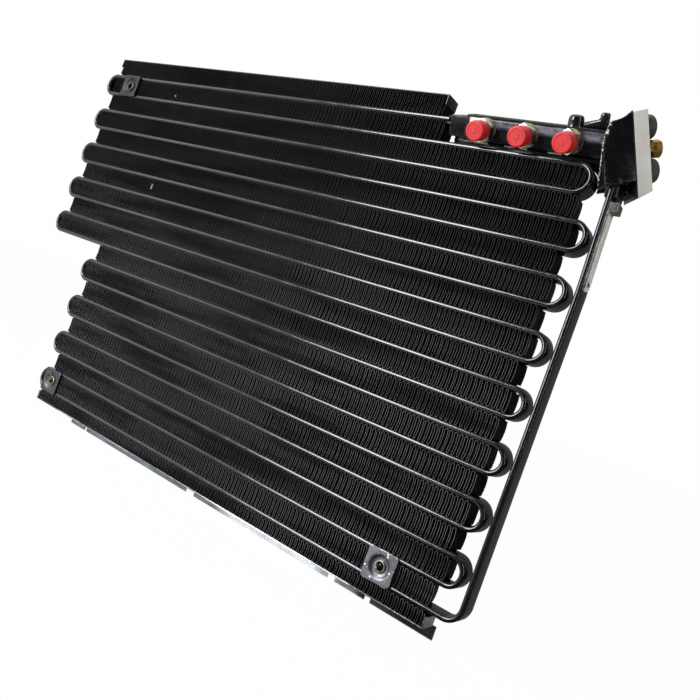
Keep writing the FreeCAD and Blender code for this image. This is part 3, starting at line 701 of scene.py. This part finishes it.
@finish("bush_steel", "zinc", 0.35, metallic=1.0)
def insert_finish(f):
    """Dull steel of the threaded bushes, browner at the left and dark above."""
    patch = f.mottle(scale=210.0, low=0.42, high=0.62)
    f.paint((0.3, 0.28, 0.26))
    f.paint((0.1, 0.09, 0.08), patch["Mask"])
    f.paint((0.2, 0.18, 0.13), f.ramp(f.axis("X"), 0.3, 0.1))
    f.paint((0.055, 0.052, 0.048), f.ramp(f.axis("Z"), 0.1, 0.3))
    f.rough(patch["Height"], 0.24, 0.42)
    f.grain(0.12, 0.0001)


@finish("red_plastic", "red_plastic", 0.42)
def cap_finish(f):
    """Moulded red plastic, faded a little in patches."""
    fine = f.mottle(scale=1400.0)["Height"]
    f.paint("cap")
    f.paint((0.46, 0.012, 0.014), f.mottle(scale=160.0, low=0.4, high=0.72)["Mask"])
    f.paint((0.62, 0.1, 0.09), f.specks(scale=420.0, size=0.22, share=0.05))
    f.rough(fine, 0.36, 0.52)
    f.relief(fine, 0.15, 0.0001)


@finish("port_rubber", "port_rubber", 0.62)
def rubber_finish(f):
    """Matt moulded rubber with a grey bloom."""
    bloom = f.mottle(scale=170.0, low=0.42, high=0.7)
    f.paint("rubber")
    f.paint((0.062, 0.06, 0.058), bloom["Mask"])
    f.rough(bloom["Height"], 0.5, 0.72)
    f.grain(0.3, 0.0001, 1600.0)


@finish("brass", "brass", 0.28, metallic=1.0)
def brass_finish(f):
    """Brass with brown tarnish."""
    tarnish = f.mottle(scale=260.0, low=0.44, high=0.66)
    f.paint("brass")
    f.paint((0.3, 0.17, 0.045), f.times(tarnish["Mask"], 0.75))
    f.paint((0.9, 0.66, 0.28), f.wear(width=0.0006, breakup=500.0, amount=0.9))
    f.rough(tarnish["Height"], 0.2, 0.42)
    f.grain(0.12, 0.0001, 1200.0)


# Pieces


def arc_points(centre, radius, start, sweep, steps):
    """Points and directions round an arc in the core's plane."""
    row = []
    for k in range(steps + 1):
        angle = start + sweep * k / steps
        spoke = Vector((cos(angle), 0.0, sin(angle)))
        way = Vector((-sin(angle), 0.0, cos(angle))) * copysign(1.0, sweep)
        row.append((centre + spoke * radius, way))
    return row


def corner_round(before, corner, after, radius, steps):
    """Points round a corner of the route, tangent to both sides."""
    to_before = (before - corner).normalized()
    to_after = (after - corner).normalized()
    half = to_before.angle(to_after) / 2.0
    centre = corner + (to_before + to_after).normalized() * (radius / sin(half))
    first = corner + to_before * (radius / tan(half)) - centre
    last = corner + to_after * (radius / tan(half)) - centre
    start = atan2(first.z, first.x)
    sweep = atan2(last.z, last.x) - start
    sweep = (sweep + pi) % tau - pi
    return arc_points(centre, radius, start, sweep, steps)


def tube_route():
    """Centre line of the tube with its direction, from the inlet to the top of the riser."""
    own = sizes()
    radius = own.pass_pitch / 2.0
    route = [(Vector((0.414, 0.0, pass_z(1))), Vector((-1.0, 0.0, 0.0)))]
    for number in range(1, PASS_COUNT):
        centre = Vector((bend_centre(number), 0.0, pass_z(number) - radius))
        sweep = pi if number % 2 == 1 else -pi
        route += arc_points(centre, radius, pi / 2.0, sweep, own.bend_steps)
    corner = Vector((0.584, 0.0, pass_z(PASS_COUNT)))
    knee = Vector((0.584, 0.0, 0.27))
    top = Vector((0.581, 0.0, 0.357))
    route += corner_round(route[-1][0], corner, knee, own.corner_radius, own.bend_steps // 2)
    route += corner_round(corner, knee, top, own.knee_radius, own.bend_steps // 5)
    route.append((top, (top - knee).normalized()))
    return route


class CONDENSER_OT_tube(Operator):
    """Flat tube folded to and fro, with round front and back noses"""
    bl_idname = "condenser.tube"
    bl_label = "Serpentine tube"

    def execute(self, context):
        own = sizes()
        nose = rounded_row(own.tube_depth / 2.0, own.tube_thickness / 2.0, 10)
        middle = Vector((0.0, own.tube_depth / 2.0, 0.0))
        rings = []
        for point, way in tube_route():
            side = Vector((-way.z, 0.0, way.x))
            rings.append([point + middle + side * across + Vector((0.0, along, 0.0))
                          for across, along in nose])
        bm = bmesh.new()
        skin(bm, rings)
        finish_piece("serpentine_flat_tube", bm, paint_finish, "serpentine_tube", smooth=50.0)
        return {"FINISHED"}


def fold_line(left, right, low, high, rng, dome=None):
    """Middle line of a corrugated strip: straight bowed walls joined by round crests.

    A dome gives the middle and the radius of the bend that the end walls fill.
    """
    own = sizes()
    middle = (low + high) / 2.0
    half_sheet = own.fin_sheet / 2.0
    low += half_sheet
    high -= half_sheet
    spacing = own.fin_period / 2.0
    count = max(2, round((right - left) / spacing))
    spacing = (right - left) / count
    radius = spacing * own.fin_pairing
    pairing = spacing * (0.5 - own.fin_pairing)
    closed_low = rng.random() < 0.5
    line = []
    for k in range(count):
        shift = rng.uniform(-1.0, 1.0) * own.fin_scatter
        shift += pairing if (k % 2 == 0) != closed_low else -pairing
        bow = own.fin_bow * rng.uniform(0.6, 1.3)
        x = left + (k + 0.5) * spacing + shift
        rising = k % 2 == 0
        wall_low = low + radius
        wall_high = high - radius
        into = max(0.0, (x - dome[0]) * dome[2]) if dome else 0.0
        if into > 0.0:
            half = sqrt(max(dome[1] ** 2 - into ** 2, 0.000004)) - radius
            wall_low = max(wall_low, middle - half)
            wall_high = min(wall_high, middle + half)
        for share in (0.0, 0.25, 0.5, 0.75, 1.0):
            part = share if rising else 1.0 - share
            z = wall_low + (wall_high - wall_low) * part
            line.append((x + bow * sin(pi * part), z))
        if k < count - 1:
            top = wall_high if rising else wall_low
            for turn in (0.25, 0.5, 0.75):
                swing = sin(pi * turn) * radius
                reach = spacing - 2.0 * shift
                line.append((x + reach * (1.0 - cos(pi * turn)) / 2.0,
                             top + swing if rising else top - swing))
    return line


def skew_of(rng):
    """How far the back edge stands aside along a strip: long waves and a lean of its own."""
    own = sizes().fin_skew
    lean = rng.uniform(-1.0, 1.0) * own
    waves = [(rng.uniform(8.0, 46.0), rng.uniform(0.0, tau), rng.uniform(0.2, 0.6) * own)
             for _ in range(4)]

    def skew(x):
        return lean + sum(high * sin(x * rate + start) for rate, start, high in waves)
    return skew


def ribbon_rings(line, sheet, front, back, skew):
    """Rings of a thin ribbon that follows the line, from front to back."""
    rings = []
    last = len(line) - 1
    for k, (x, z) in enumerate(line):
        ax, az = line[max(0, k - 1)]
        bx, bz = line[min(last, k + 1)]
        way = Vector((bx - ax, 0.0, bz - az)).normalized()
        side = Vector((-way.z, 0.0, way.x)) * (sheet / 2.0)
        point = Vector((x, 0.0, z))
        near = Vector((0.0, front(x), 0.0))
        far = Vector((skew(x), back, 0.0))
        rings.append([point - side + near, point + side + near, point + side + far, point - side + far])
    return rings


class CONDENSER_OT_fins(Operator):
    """Corrugated fin strips between the passes, at their true pitch"""
    bl_idname = "condenser.fins"
    bl_label = "Fin strips"

    def execute(self, context):
        own = sizes()
        rng = random.Random(7)
        inner = own.pass_pitch / 2.0 - own.tube_thickness / 2.0 - FIN_PLAY
        nodes = sorted(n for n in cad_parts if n.startswith("fin_strip"))
        if not nodes:
            raise RuntimeError("the frame has no fin strips")
        for node in nodes:
            low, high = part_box(node)
            inserts = [x for x, z in MOUNTS if low.z < z < high.z]

            def front(x, start=low.y, centres=tuple(inserts)):
                """The strip's front edge, set back behind a dish."""
                clear = any(abs(x - centre) < DISH_GAP for centre in centres)
                return start + DISH_SETBACK if clear else start

            number = int(node[-2:])
            left, right, dome = low.x, high.x, None
            inside_bend = abs(high.x - STRIP_END) < 0.0005
            if inside_bend:
                right += own.fin_reach * rng.uniform(0.6, 1.3)
            if number == 2:
                right = high.x + SECOND_REACH
            elif number == 3:
                dome = (FIRST_RIGHT_BEND, inner, 1.0)
                right = FIRST_RIGHT_BEND + inner * 0.9
            elif number % 2 == 0 and not any(x < 0.1 for x in inserts):
                dome = (bend_centre(number - 1), inner, -1.0)
                left = min(low.x, dome[0] - inner * rng.uniform(0.62, 0.86))
            elif inside_bend:
                dome = (RIGHT_BEND, inner, 1.0)
            line = fold_line(left, right, low.z, high.z, rng, dome)
            bm = bmesh.new()
            skin(bm, ribbon_rings(line, own.fin_sheet, front, high.y, skew_of(rng)))
            finish_piece(node.replace("strip", "folds"), bm, fin_finish, node, smooth=50.0)
        return {"FINISHED"}


class CONDENSER_OT_side_plates(Operator):
    """Folded plate above the top strip, and the rail below the bottom strip"""
    bl_idname = "condenser.side_plates"
    bl_label = "Side plates"

    def execute(self, context):
        width = sizes().edge_ease
        eased("top_plate", "top_side_plate", paint_finish, width)
        eased("rail", "bottom_rail", rail_finish, width)
        return {"FINISHED"}


class CONDENSER_OT_mounts(Operator):
    """Pressed mounting plates with a dish, and the threaded inserts in them"""
    bl_idname = "condenser.mounts"
    bl_label = "Mounts"

    def execute(self, context):
        def edge(inset, height):
            return lambda angle: (plate_radius(angle) - inset, height)

        def across(share):
            return lambda angle: (11.4 + (plate_radius(angle) - 11.4) * share, 2.0)

        dish_front = [(5.6, 0.0), (6.6, 0.1), (7.8, 0.3), (8.8, 0.8), (9.6, 1.4), (10.4, 1.85), (11.4, 2.0)]
        rim = [across(0.4), across(0.8), edge(0.4, 2.0), edge(0.1, 1.8), edge(0.0, 1.4), edge(0.0, 0.4),
               edge(0.2, 0.0)]
        dish_back = [(10.0, 0.0), (9.2, -0.8), (8.6, -1.6), (7.8, -2.0), (5.6, -2.0)]
        bush = [*thread_stations(3.7, 0.4, -9.4, 0.6), (4.2, 1.4), (5.0, 1.4), (5.4, 1.2), (5.6, 0.8),
                (5.6, -8.8), (5.2, -9.6), (4.1, -9.6)]
        plates = bmesh.new()
        bushes = bmesh.new()
        for x, z in MOUNTS:
            place = Matrix.Translation((x, 0.0, z)) @ FACING
            revolve(plates, place, dish_front + rim + dish_back, 96, close=True, first=0.5)
            revolve(bushes, place, bush, close=True)
        finish_piece("pressed_mount_plates", plates, mount_finish, "mount_plates")
        finish_piece("threaded_bushes", bushes, insert_finish, "threaded_inserts")
        return {"FINISHED"}


class CONDENSER_OT_header(Operator):
    """Header bar with its adapter, boss, web, lug and weld"""
    bl_idname = "condenser.header"
    bl_label = "Header"

    def adapter(self):
        """Block between the bar's left end and the first pass."""
        bm = bmesh.new()
        extrude_outline(bm, header_up(0.0), rectangle(417.0, 433.5, -8.5, 10.0), -10.2, 9.0)
        extrude_outline(bm, Matrix.Translation((0.0, 0.0, pass_z(1))),
                        rectangle(410.0, 419.0, -4.2, 4.2), 3.0, 20.6)
        ease_prisms(bm, 0.0009, 3)
        finish_piece("adapter_block", bm, bar_finish, "inlet_adapter")

    def lip(self):
        """Sheet below the bar, cut round the first right bend, its front leaning back."""
        bm = bmesh.new()
        centre_x, centre_z, clear = FIRST_RIGHT_BEND / MM, pass_z(2) / MM - 12.0, 15.0
        round_bend = [(centre_x + clear * cos(t), centre_z + clear * sin(t))
                      for t in [radians(90.0 - 15.0 * k) for k in range(8)]]
        top, right = 384.0, 574.0
        outline = [(420.5, top), (420.5, centre_z + clear), *round_bend, (right, centre_z - 1.0),
                   (right, top)]
        extrude_outline(bm, Matrix.Identity(4), outline, 10.0, 18.5)
        for vert in bm.verts:
            if vert.co.y < 0.012:
                vert.co.y += (top * MM - vert.co.z) * 0.42
        ease_prisms(bm, 0.0005, 2)
        finish_piece("bar_lip", bm, paint_finish)

    def weld(self):
        """Uneven bead round the bar's end, a rounded rectangle about its axis."""
        rng = random.Random(3)
        half_d, half_h, squareness = 0.0102, 0.01245, 0.28
        count = 150
        rings = []
        for k in range(count):
            angle = tau * k / count
            c, s = cos(angle), sin(angle)
            across = copysign(abs(c) ** squareness, c) * half_d
            up = copysign(abs(s) ** squareness, s) * half_h
            bead = 0.0011 * (0.75 + 0.25 * cos(k * tau / 5.0)) * rng.uniform(0.9, 1.12)
            centre, beyond = (header_up(BAR_END, up * share) @ Vector((0.0, across * share, 0.0))
                              for share in (1.0, 1.2))
            outward = (beyond - centre).normalized()
            side = Vector((1.0, 0.0, 0.0))
            rings.append([centre + (outward * sin(t) + side * cos(t)) * bead
                          for t in [tau * m / 8 for m in range(8)]])
        bm = bmesh.new()
        skin(bm, rings, close=True)
        finish_piece("header_weld", bm, bar_finish, smooth=60.0)

    def execute(self, context):
        eased("bar", "header_bar", bar_finish, 0.0007, 3)
        self.adapter()
        eased("web_and_lug", "header_gusset", paint_finish, 0.0024, 3)
        self.lip()
        boss = bmesh.new()
        revolve(boss, header_up(0.5325, 0.01225),
                [(7.4, -0.6), (7.0, 0.4), (6.7, 1.6), (6.6, 5.0), (6.3, 6.8), (5.5, 8.3), (4.1, 9.2),
                 (2.2, 9.5), (0.8, 9.55)], 40)
        finish_piece("boss", boss, paint_finish, "header_boss", smooth=60.0)
        self.weld()
        return {"FINISHED"}


class CONDENSER_OT_fittings(Operator):
    """Hexagon fittings on the bar and the caps on them"""
    bl_idname = "condenser.fittings"
    bl_label = "Fittings and caps"

    def execute(self, context):
        def grip(height):
            return lambda a: (8.8 + (0.12 if sin(a * 24.0) > 0.0 else 0.0), height)

        collar = [(10.0, -0.2), (10.6, 0.1), (10.6, 1.4), (10.3, 1.7), (9.7, 1.7)]
        spout = [(8.0, 9.5), (7.6, 9.2), *thread_stations(7.2, 0.5, 9.4, 17.0), (6.2, 17.5), (4.0, 17.5),
                 (3.8, 12.0)]
        skirt = [(7.3, 9.6), (8.4, 9.6), (9.0, 9.8), (9.1, 10.2), (9.1, 11.3), grip(11.7), grip(19.2)]
        crown = [(8.65, 20.3), (8.2, 20.8), (7.2, 21.0), (6.6, 21.0), (6.4, 20.8), (5.8, 20.75),
                 (5.6, 20.9), (2.4, 20.9), (2.1, 21.2), (1.2, 21.3), (0.5, 21.1)]
        caps = bmesh.new()
        first, pitch = FITTINGS
        for number in (1, 2, 3):
            place = header_up(first + (number - 1) * pitch, 0.0005, 0.01) @ FACING
            body = bmesh.new()
            revolve(body, place, collar)
            turned = radians(30.0 + 9.0 * (number - 2))
            revolve(body, place, hex_stations(19.0, 1.7, 9.5, turned) + spout, 72)
            finish_piece(f"hex_fitting_{number}", body, zinc_finish, f"fitting_{number}")
            spin = place @ Matrix.Rotation(radians(40.0 * number), 4, "Z")
            revolve(caps, spin, skirt + crown, 96)
        finish_piece("protective_caps", caps, cap_finish, "fitting_caps")
        return {"FINISHED"}


def casting_outline():
    """Casting seen along its depth: neck, underside and the hollow top that rises to the flange."""
    left, right, top, count = -8.0, 17.8, 70.0, 9
    hollow = []
    for k in range(1, count):
        share = k / count
        hollow.append((right - (right - left) * share,
                       top - 8.5 * share - 3.4 * sin(pi * share ** 0.8)))
    return [(left, 11.0), (right, 12.5), (right, top), *hollow, (left, 61.5)]


class CONDENSER_OT_hose_block(Operator):
    """Casting between bar, riser and hose flange"""
    bl_idname = "condenser.hose_block"
    bl_label = "Hose block"

    def execute(self, context):
        bm = bmesh.new()
        place = block_place()
        extrude_outline(bm, place, casting_outline(), -11.0, 28.0)
        everything = bm.verts[:] + bm.edges[:] + bm.faces[:]
        cut = bmesh.ops.bisect_plane(bm, geom=everything, plane_co=(0.566, 0.0, 0.0),
                                     plane_no=(-1.0, 0.0, 0.0), clear_outer=True)
        rim = [e for e in cut["geom_cut"] if isinstance(e, bmesh.types.BMEdge)]
        bmesh.ops.contextual_create(bm, geom=rim)
        bmesh.ops.recalc_face_normals(bm, faces=bm.faces)
        ease_edges(bm, sizes().cast_ease, 3, 28.0)

        # Step below the flange, and the neck on the riser with its front leaning back
        low = bmesh.new()
        extrude_outline(low, place, rectangle(11.4, 17.8, 2.5, 20.0), -3.0, 28.0)
        extrude_outline(low, Matrix.Identity(4), rectangle(576.2, 586.8, 349.5, 364.0), -1.2, 21.2)
        for vert in low.verts:
            if vert.co.y < 0.0 and vert.co.z < 0.351:
                vert.co.y += 0.0045
        ease_prisms(low, 0.0008, 2)
        loose = bpy.data.meshes.new("step")
        low.to_mesh(loose)
        low.free()
        bm.from_mesh(loose)
        bpy.data.meshes.remove(loose)
        finish_piece("casting", bm, bar_finish, "hose_block", smooth=40.0)
        eased("machined_flange", "hose_flange", bare_finish, 0.0009, 3)
        return {"FINISHED"}


class CONDENSER_OT_ports(Operator):
    """Rubber plugs in the ports and the brass screw between them"""
    bl_idname = "condenser.ports"
    bl_label = "Plugs and screw"

    def execute(self, context):
        radius, foot, rise, count = 10.1, 5.6, 5.8, 10
        quarter = [pi / 2.0 * k / count for k in range(1, count)]
        dome = [(radius * cos(t) ** 0.7, foot + rise * sin(t) ** 0.9) for t in quarter]
        plug = [(4.0, -5.0), (6.6, -5.0), (7.0, -4.6), (7.0, 0.0), (9.0, 0.1), (9.8, 0.9), (radius, 2.4),
                (radius, foot), *dome, (0.5, foot + rise)]
        washer = [(7.2, 0.0), (7.5, 0.2), (7.5, 1.0), (7.2, 1.2), (6.0, 1.2)]
        screw = [(3.8, -8.0), (4.0, -7.8), (4.0, 1.0), *hex_stations(13.0, 1.3, 14.2), (4.2, 14.2),
                 (3.8, 13.8), (3.4, 9.0)]
        for height, stations, segments, smooth, name, look, *nodes in (
            (0.0234, plug, 48, 50.0, "lower_plug", rubber_finish, "lower_port_plug"),
            (0.0594, plug, 48, 50.0, "upper_plug", rubber_finish, "upper_port_plug"),
            (0.0414, washer, 48, 35.0, "screw_washer", zinc_finish),
            (0.0414, screw, 72, 35.0, "brass_hex_screw", brass_finish, "brass_screw"),
        ):
            bm = bmesh.new()
            revolve(bm, hose_face(height), stations, segments)
            finish_piece(name, bm, look, *nodes, smooth=smooth)
        return {"FINISHED"}


class CONDENSER_OT_stay(Operator):
    """Strap on the riser's outer side"""
    bl_idname = "condenser.stay"
    bl_label = "Riser stay"

    def execute(self, context):
        eased("stay", "riser_stay", dull_finish, sizes().edge_ease)
        return {"FINISHED"}


# Studio


def area_lamp(name, place, aim, wide, tall, watts):
    """Soft lamp that looks at a point."""
    light = bpy.data.lights.new(name, "AREA")
    light.shape = "RECTANGLE"
    light.size = wide
    light.size_y = tall
    light.energy = watts
    lamp = bpy.data.objects.new(name, light)
    bpy.context.scene.collection.objects.link(lamp)
    lamp.location = place
    lamp.rotation_euler = (Vector(aim) - Vector(place)).to_track_quat("-Z", "Y").to_euler()


def seen_directly(wires):
    """1 for rays that see the backdrop itself: camera, glossy and transmission rays."""
    path = wires.put("ShaderNodeLightPath").outputs
    return wires.most(*(path[f"Is {kind} Ray"] for kind in ("Camera", "Glossy", "Transmission")))


def stage_piece(name, bm, *finishes):
    """Turns a bmesh into something of the studio."""
    mesh = bpy.data.meshes.new(name)
    bm.to_mesh(mesh)
    bm.free()
    for look in finishes:
        mesh.materials.append(look.material)
    piece = bpy.data.objects.new(name, mesh)
    bpy.context.scene.collection.objects.link(piece)
    return piece


class CONDENSER_OT_stage(Operator):
    """Pale floor, white surroundings, soft lamps and the camera"""
    bl_idname = "condenser.stage"
    bl_label = "Studio"

    def floor(self, ground):
        paper = Finish("floor_paper_finish", 0.9)
        cloud = paper.mottle(scale=30.0, low=0.2, high=0.8)
        paper.paint("floor")
        paper.paint((0.8, 0.8, 0.8), paper.times(cloud["Mask"], 0.04))
        glow = paper.put("ShaderNodeEmission", {"Color": (1.0, 1.0, 1.0, 1.0), "Strength": 1.0}).outputs[0]
        share = paper.times(seen_directly(paper), 0.975)
        mixed = paper.put("ShaderNodeMixShader", {0: share, 1: paper.shader.outputs[0], 2: glow})
        paper.tree.links.new(mixed.outputs[0], paper.tree.nodes["Material Output"].inputs["Surface"])
        bm = bmesh.new()
        for x, y in rectangle(-9.0, 9.0, -9.0, 9.0):
            bm.verts.new((x, y, ground - 0.0002))
        bm.faces.new(bm.verts)
        stage_piece("floor", bm, paper)

    def dark_card(self, ground):
        """Curved card in front, which only reflections see: dark, with a warm wall at the right that glows, a
        painted warm reflection.
        """
        turns = [radians(turn) for turn in range(-142, 130, 12)]
        warm_from = 14
        lifts = [radians(lift) for lift in range(0, 61, 12)]
        middle_x, far = 0.25, 3.0
        shells = [(-0.12, 0.25, 0.0)] + [(0.0, far * cos(lift), far * sin(lift)) for lift in lifts]
        bm = bmesh.new()
        rows = []
        for y, reach, high in shells:
            points = [(middle_x + reach * cos(t), y + reach * sin(t), ground + 0.001 + high) for t in turns]
            rows.append([bm.verts.new(point) for point in points])
        for low, high in zip(rows, rows[1:]):
            for k in range(1, len(low)):
                face = bm.faces.new((low[k - 1], low[k], high[k], high[k - 1]))
                face.material_index = int(k > warm_from)
        velvet = Finish("dark_velvet_finish", 0.95)
        wall = Finish("glowing_warm_wall_finish", 0.95)
        for cloth in (velvet, wall):
            cloth.set("Base Color", (0.03, 0.03, 0.03, 1.0))
        # The warm wall glows though it is no lamp: a painted warm reflection on what faces it.
        wall.set("Emission Color", (0.15, 0.135, 0.115, 1.0))
        wall.set("Emission Strength", 1.0)
        card = stage_piece("dark_card", bm, velvet, wall)
        for kind in ("camera", "diffuse", "shadow", "transmission"):
            setattr(card, f"visible_{kind}", False)

    def camera(self, scene):
        """Camera fitted to the photograph."""
        data = bpy.data.cameras.new("camera")
        scene.camera = bpy.data.objects.new("camera", data)
        scene.collection.objects.link(scene.camera)
        data.lens = 37.53
        data.sensor_width = 36.0
        data.shift_x = -0.00496
        data.shift_y = -0.02026
        data.clip_start = 0.01
        axes = ((0.78093587, 0.51995908, 0.34609496),
                (-0.27657162, -0.20896283, 0.93799929),
                (0.56004223, -0.82823734, -0.01938064))
        turn = Matrix(axes).transposed().to_4x4()
        scene.camera.matrix_world = Matrix.Translation((0.77879, -0.56316, 0.16319)) @ turn

    def execute(self, context):
        scene = bpy.context.scene
        ground = CAD_BOX[0].z
        self.floor(ground)
        world = bpy.data.worlds.new("studio")
        scene.world = world
        world.use_nodes = True
        wires = Wires(world.node_tree)
        back = wires.tree.nodes["Background"].inputs
        back["Color"].default_value = (1.0, 1.0, 1.0, 1.0)
        wires.tree.links.new(wires.ramp(seen_directly(wires), 0.0, 1.0, 0.25, 1.0), back["Strength"])
        for lamp in LAMPS:
            area_lamp(*lamp)
        self.dark_card(ground)
        scene.view_settings.view_transform = "Standard"
        self.camera(scene)
        return {"FINISHED"}


OPERATORS = (
    CONDENSER_OT_tube,
    CONDENSER_OT_fins,
    CONDENSER_OT_side_plates,
    CONDENSER_OT_mounts,
    CONDENSER_OT_header,
    CONDENSER_OT_fittings,
    CONDENSER_OT_hose_block,
    CONDENSER_OT_ports,
    CONDENSER_OT_stay,
    CONDENSER_OT_stage,
)


class CONDENSER_PT_panel(Panel):
    """Sizes, colours and the pieces of the condenser"""
    bl_idname = "CONDENSER_PT_panel"
    bl_label = "Condenser"
    bl_space_type = "VIEW_3D"
    bl_region_type = "UI"
    bl_category = "Condenser"

    def draw(self, context):
        layout = self.layout
        for group in (context.scene.condenser_sizes, context.scene.condenser_colours):
            box = layout.box()
            for name in group.bl_rna.properties.keys():
                if name not in ("rna_type", "name"):
                    box.prop(group, name)
        for operator in OPERATORS:
            layout.operator(operator.bl_idname)


CLASSES = (CondenserSizes, CondenserColours, *OPERATORS, CONDENSER_PT_panel)


def register():
    for cls in CLASSES:
        bpy.utils.register_class(cls)
    bpy.types.Scene.condenser_sizes = PointerProperty(type=CondenserSizes)
    bpy.types.Scene.condenser_colours = PointerProperty(type=CondenserColours)


def unregister():
    del bpy.types.Scene.condenser_colours
    del bpy.types.Scene.condenser_sizes
    for cls in reversed(CLASSES):
        bpy.utils.unregister_class(cls)


def main():
    register()
    for operator in OPERATORS:
        group, name = operator.bl_idname.split(".")
        result = getattr(getattr(bpy.ops, group), name)()
        if result != {"FINISHED"}:
            raise RuntimeError(f"{operator.bl_idname} did not finish")


if __name__ == "__main__":
    main()
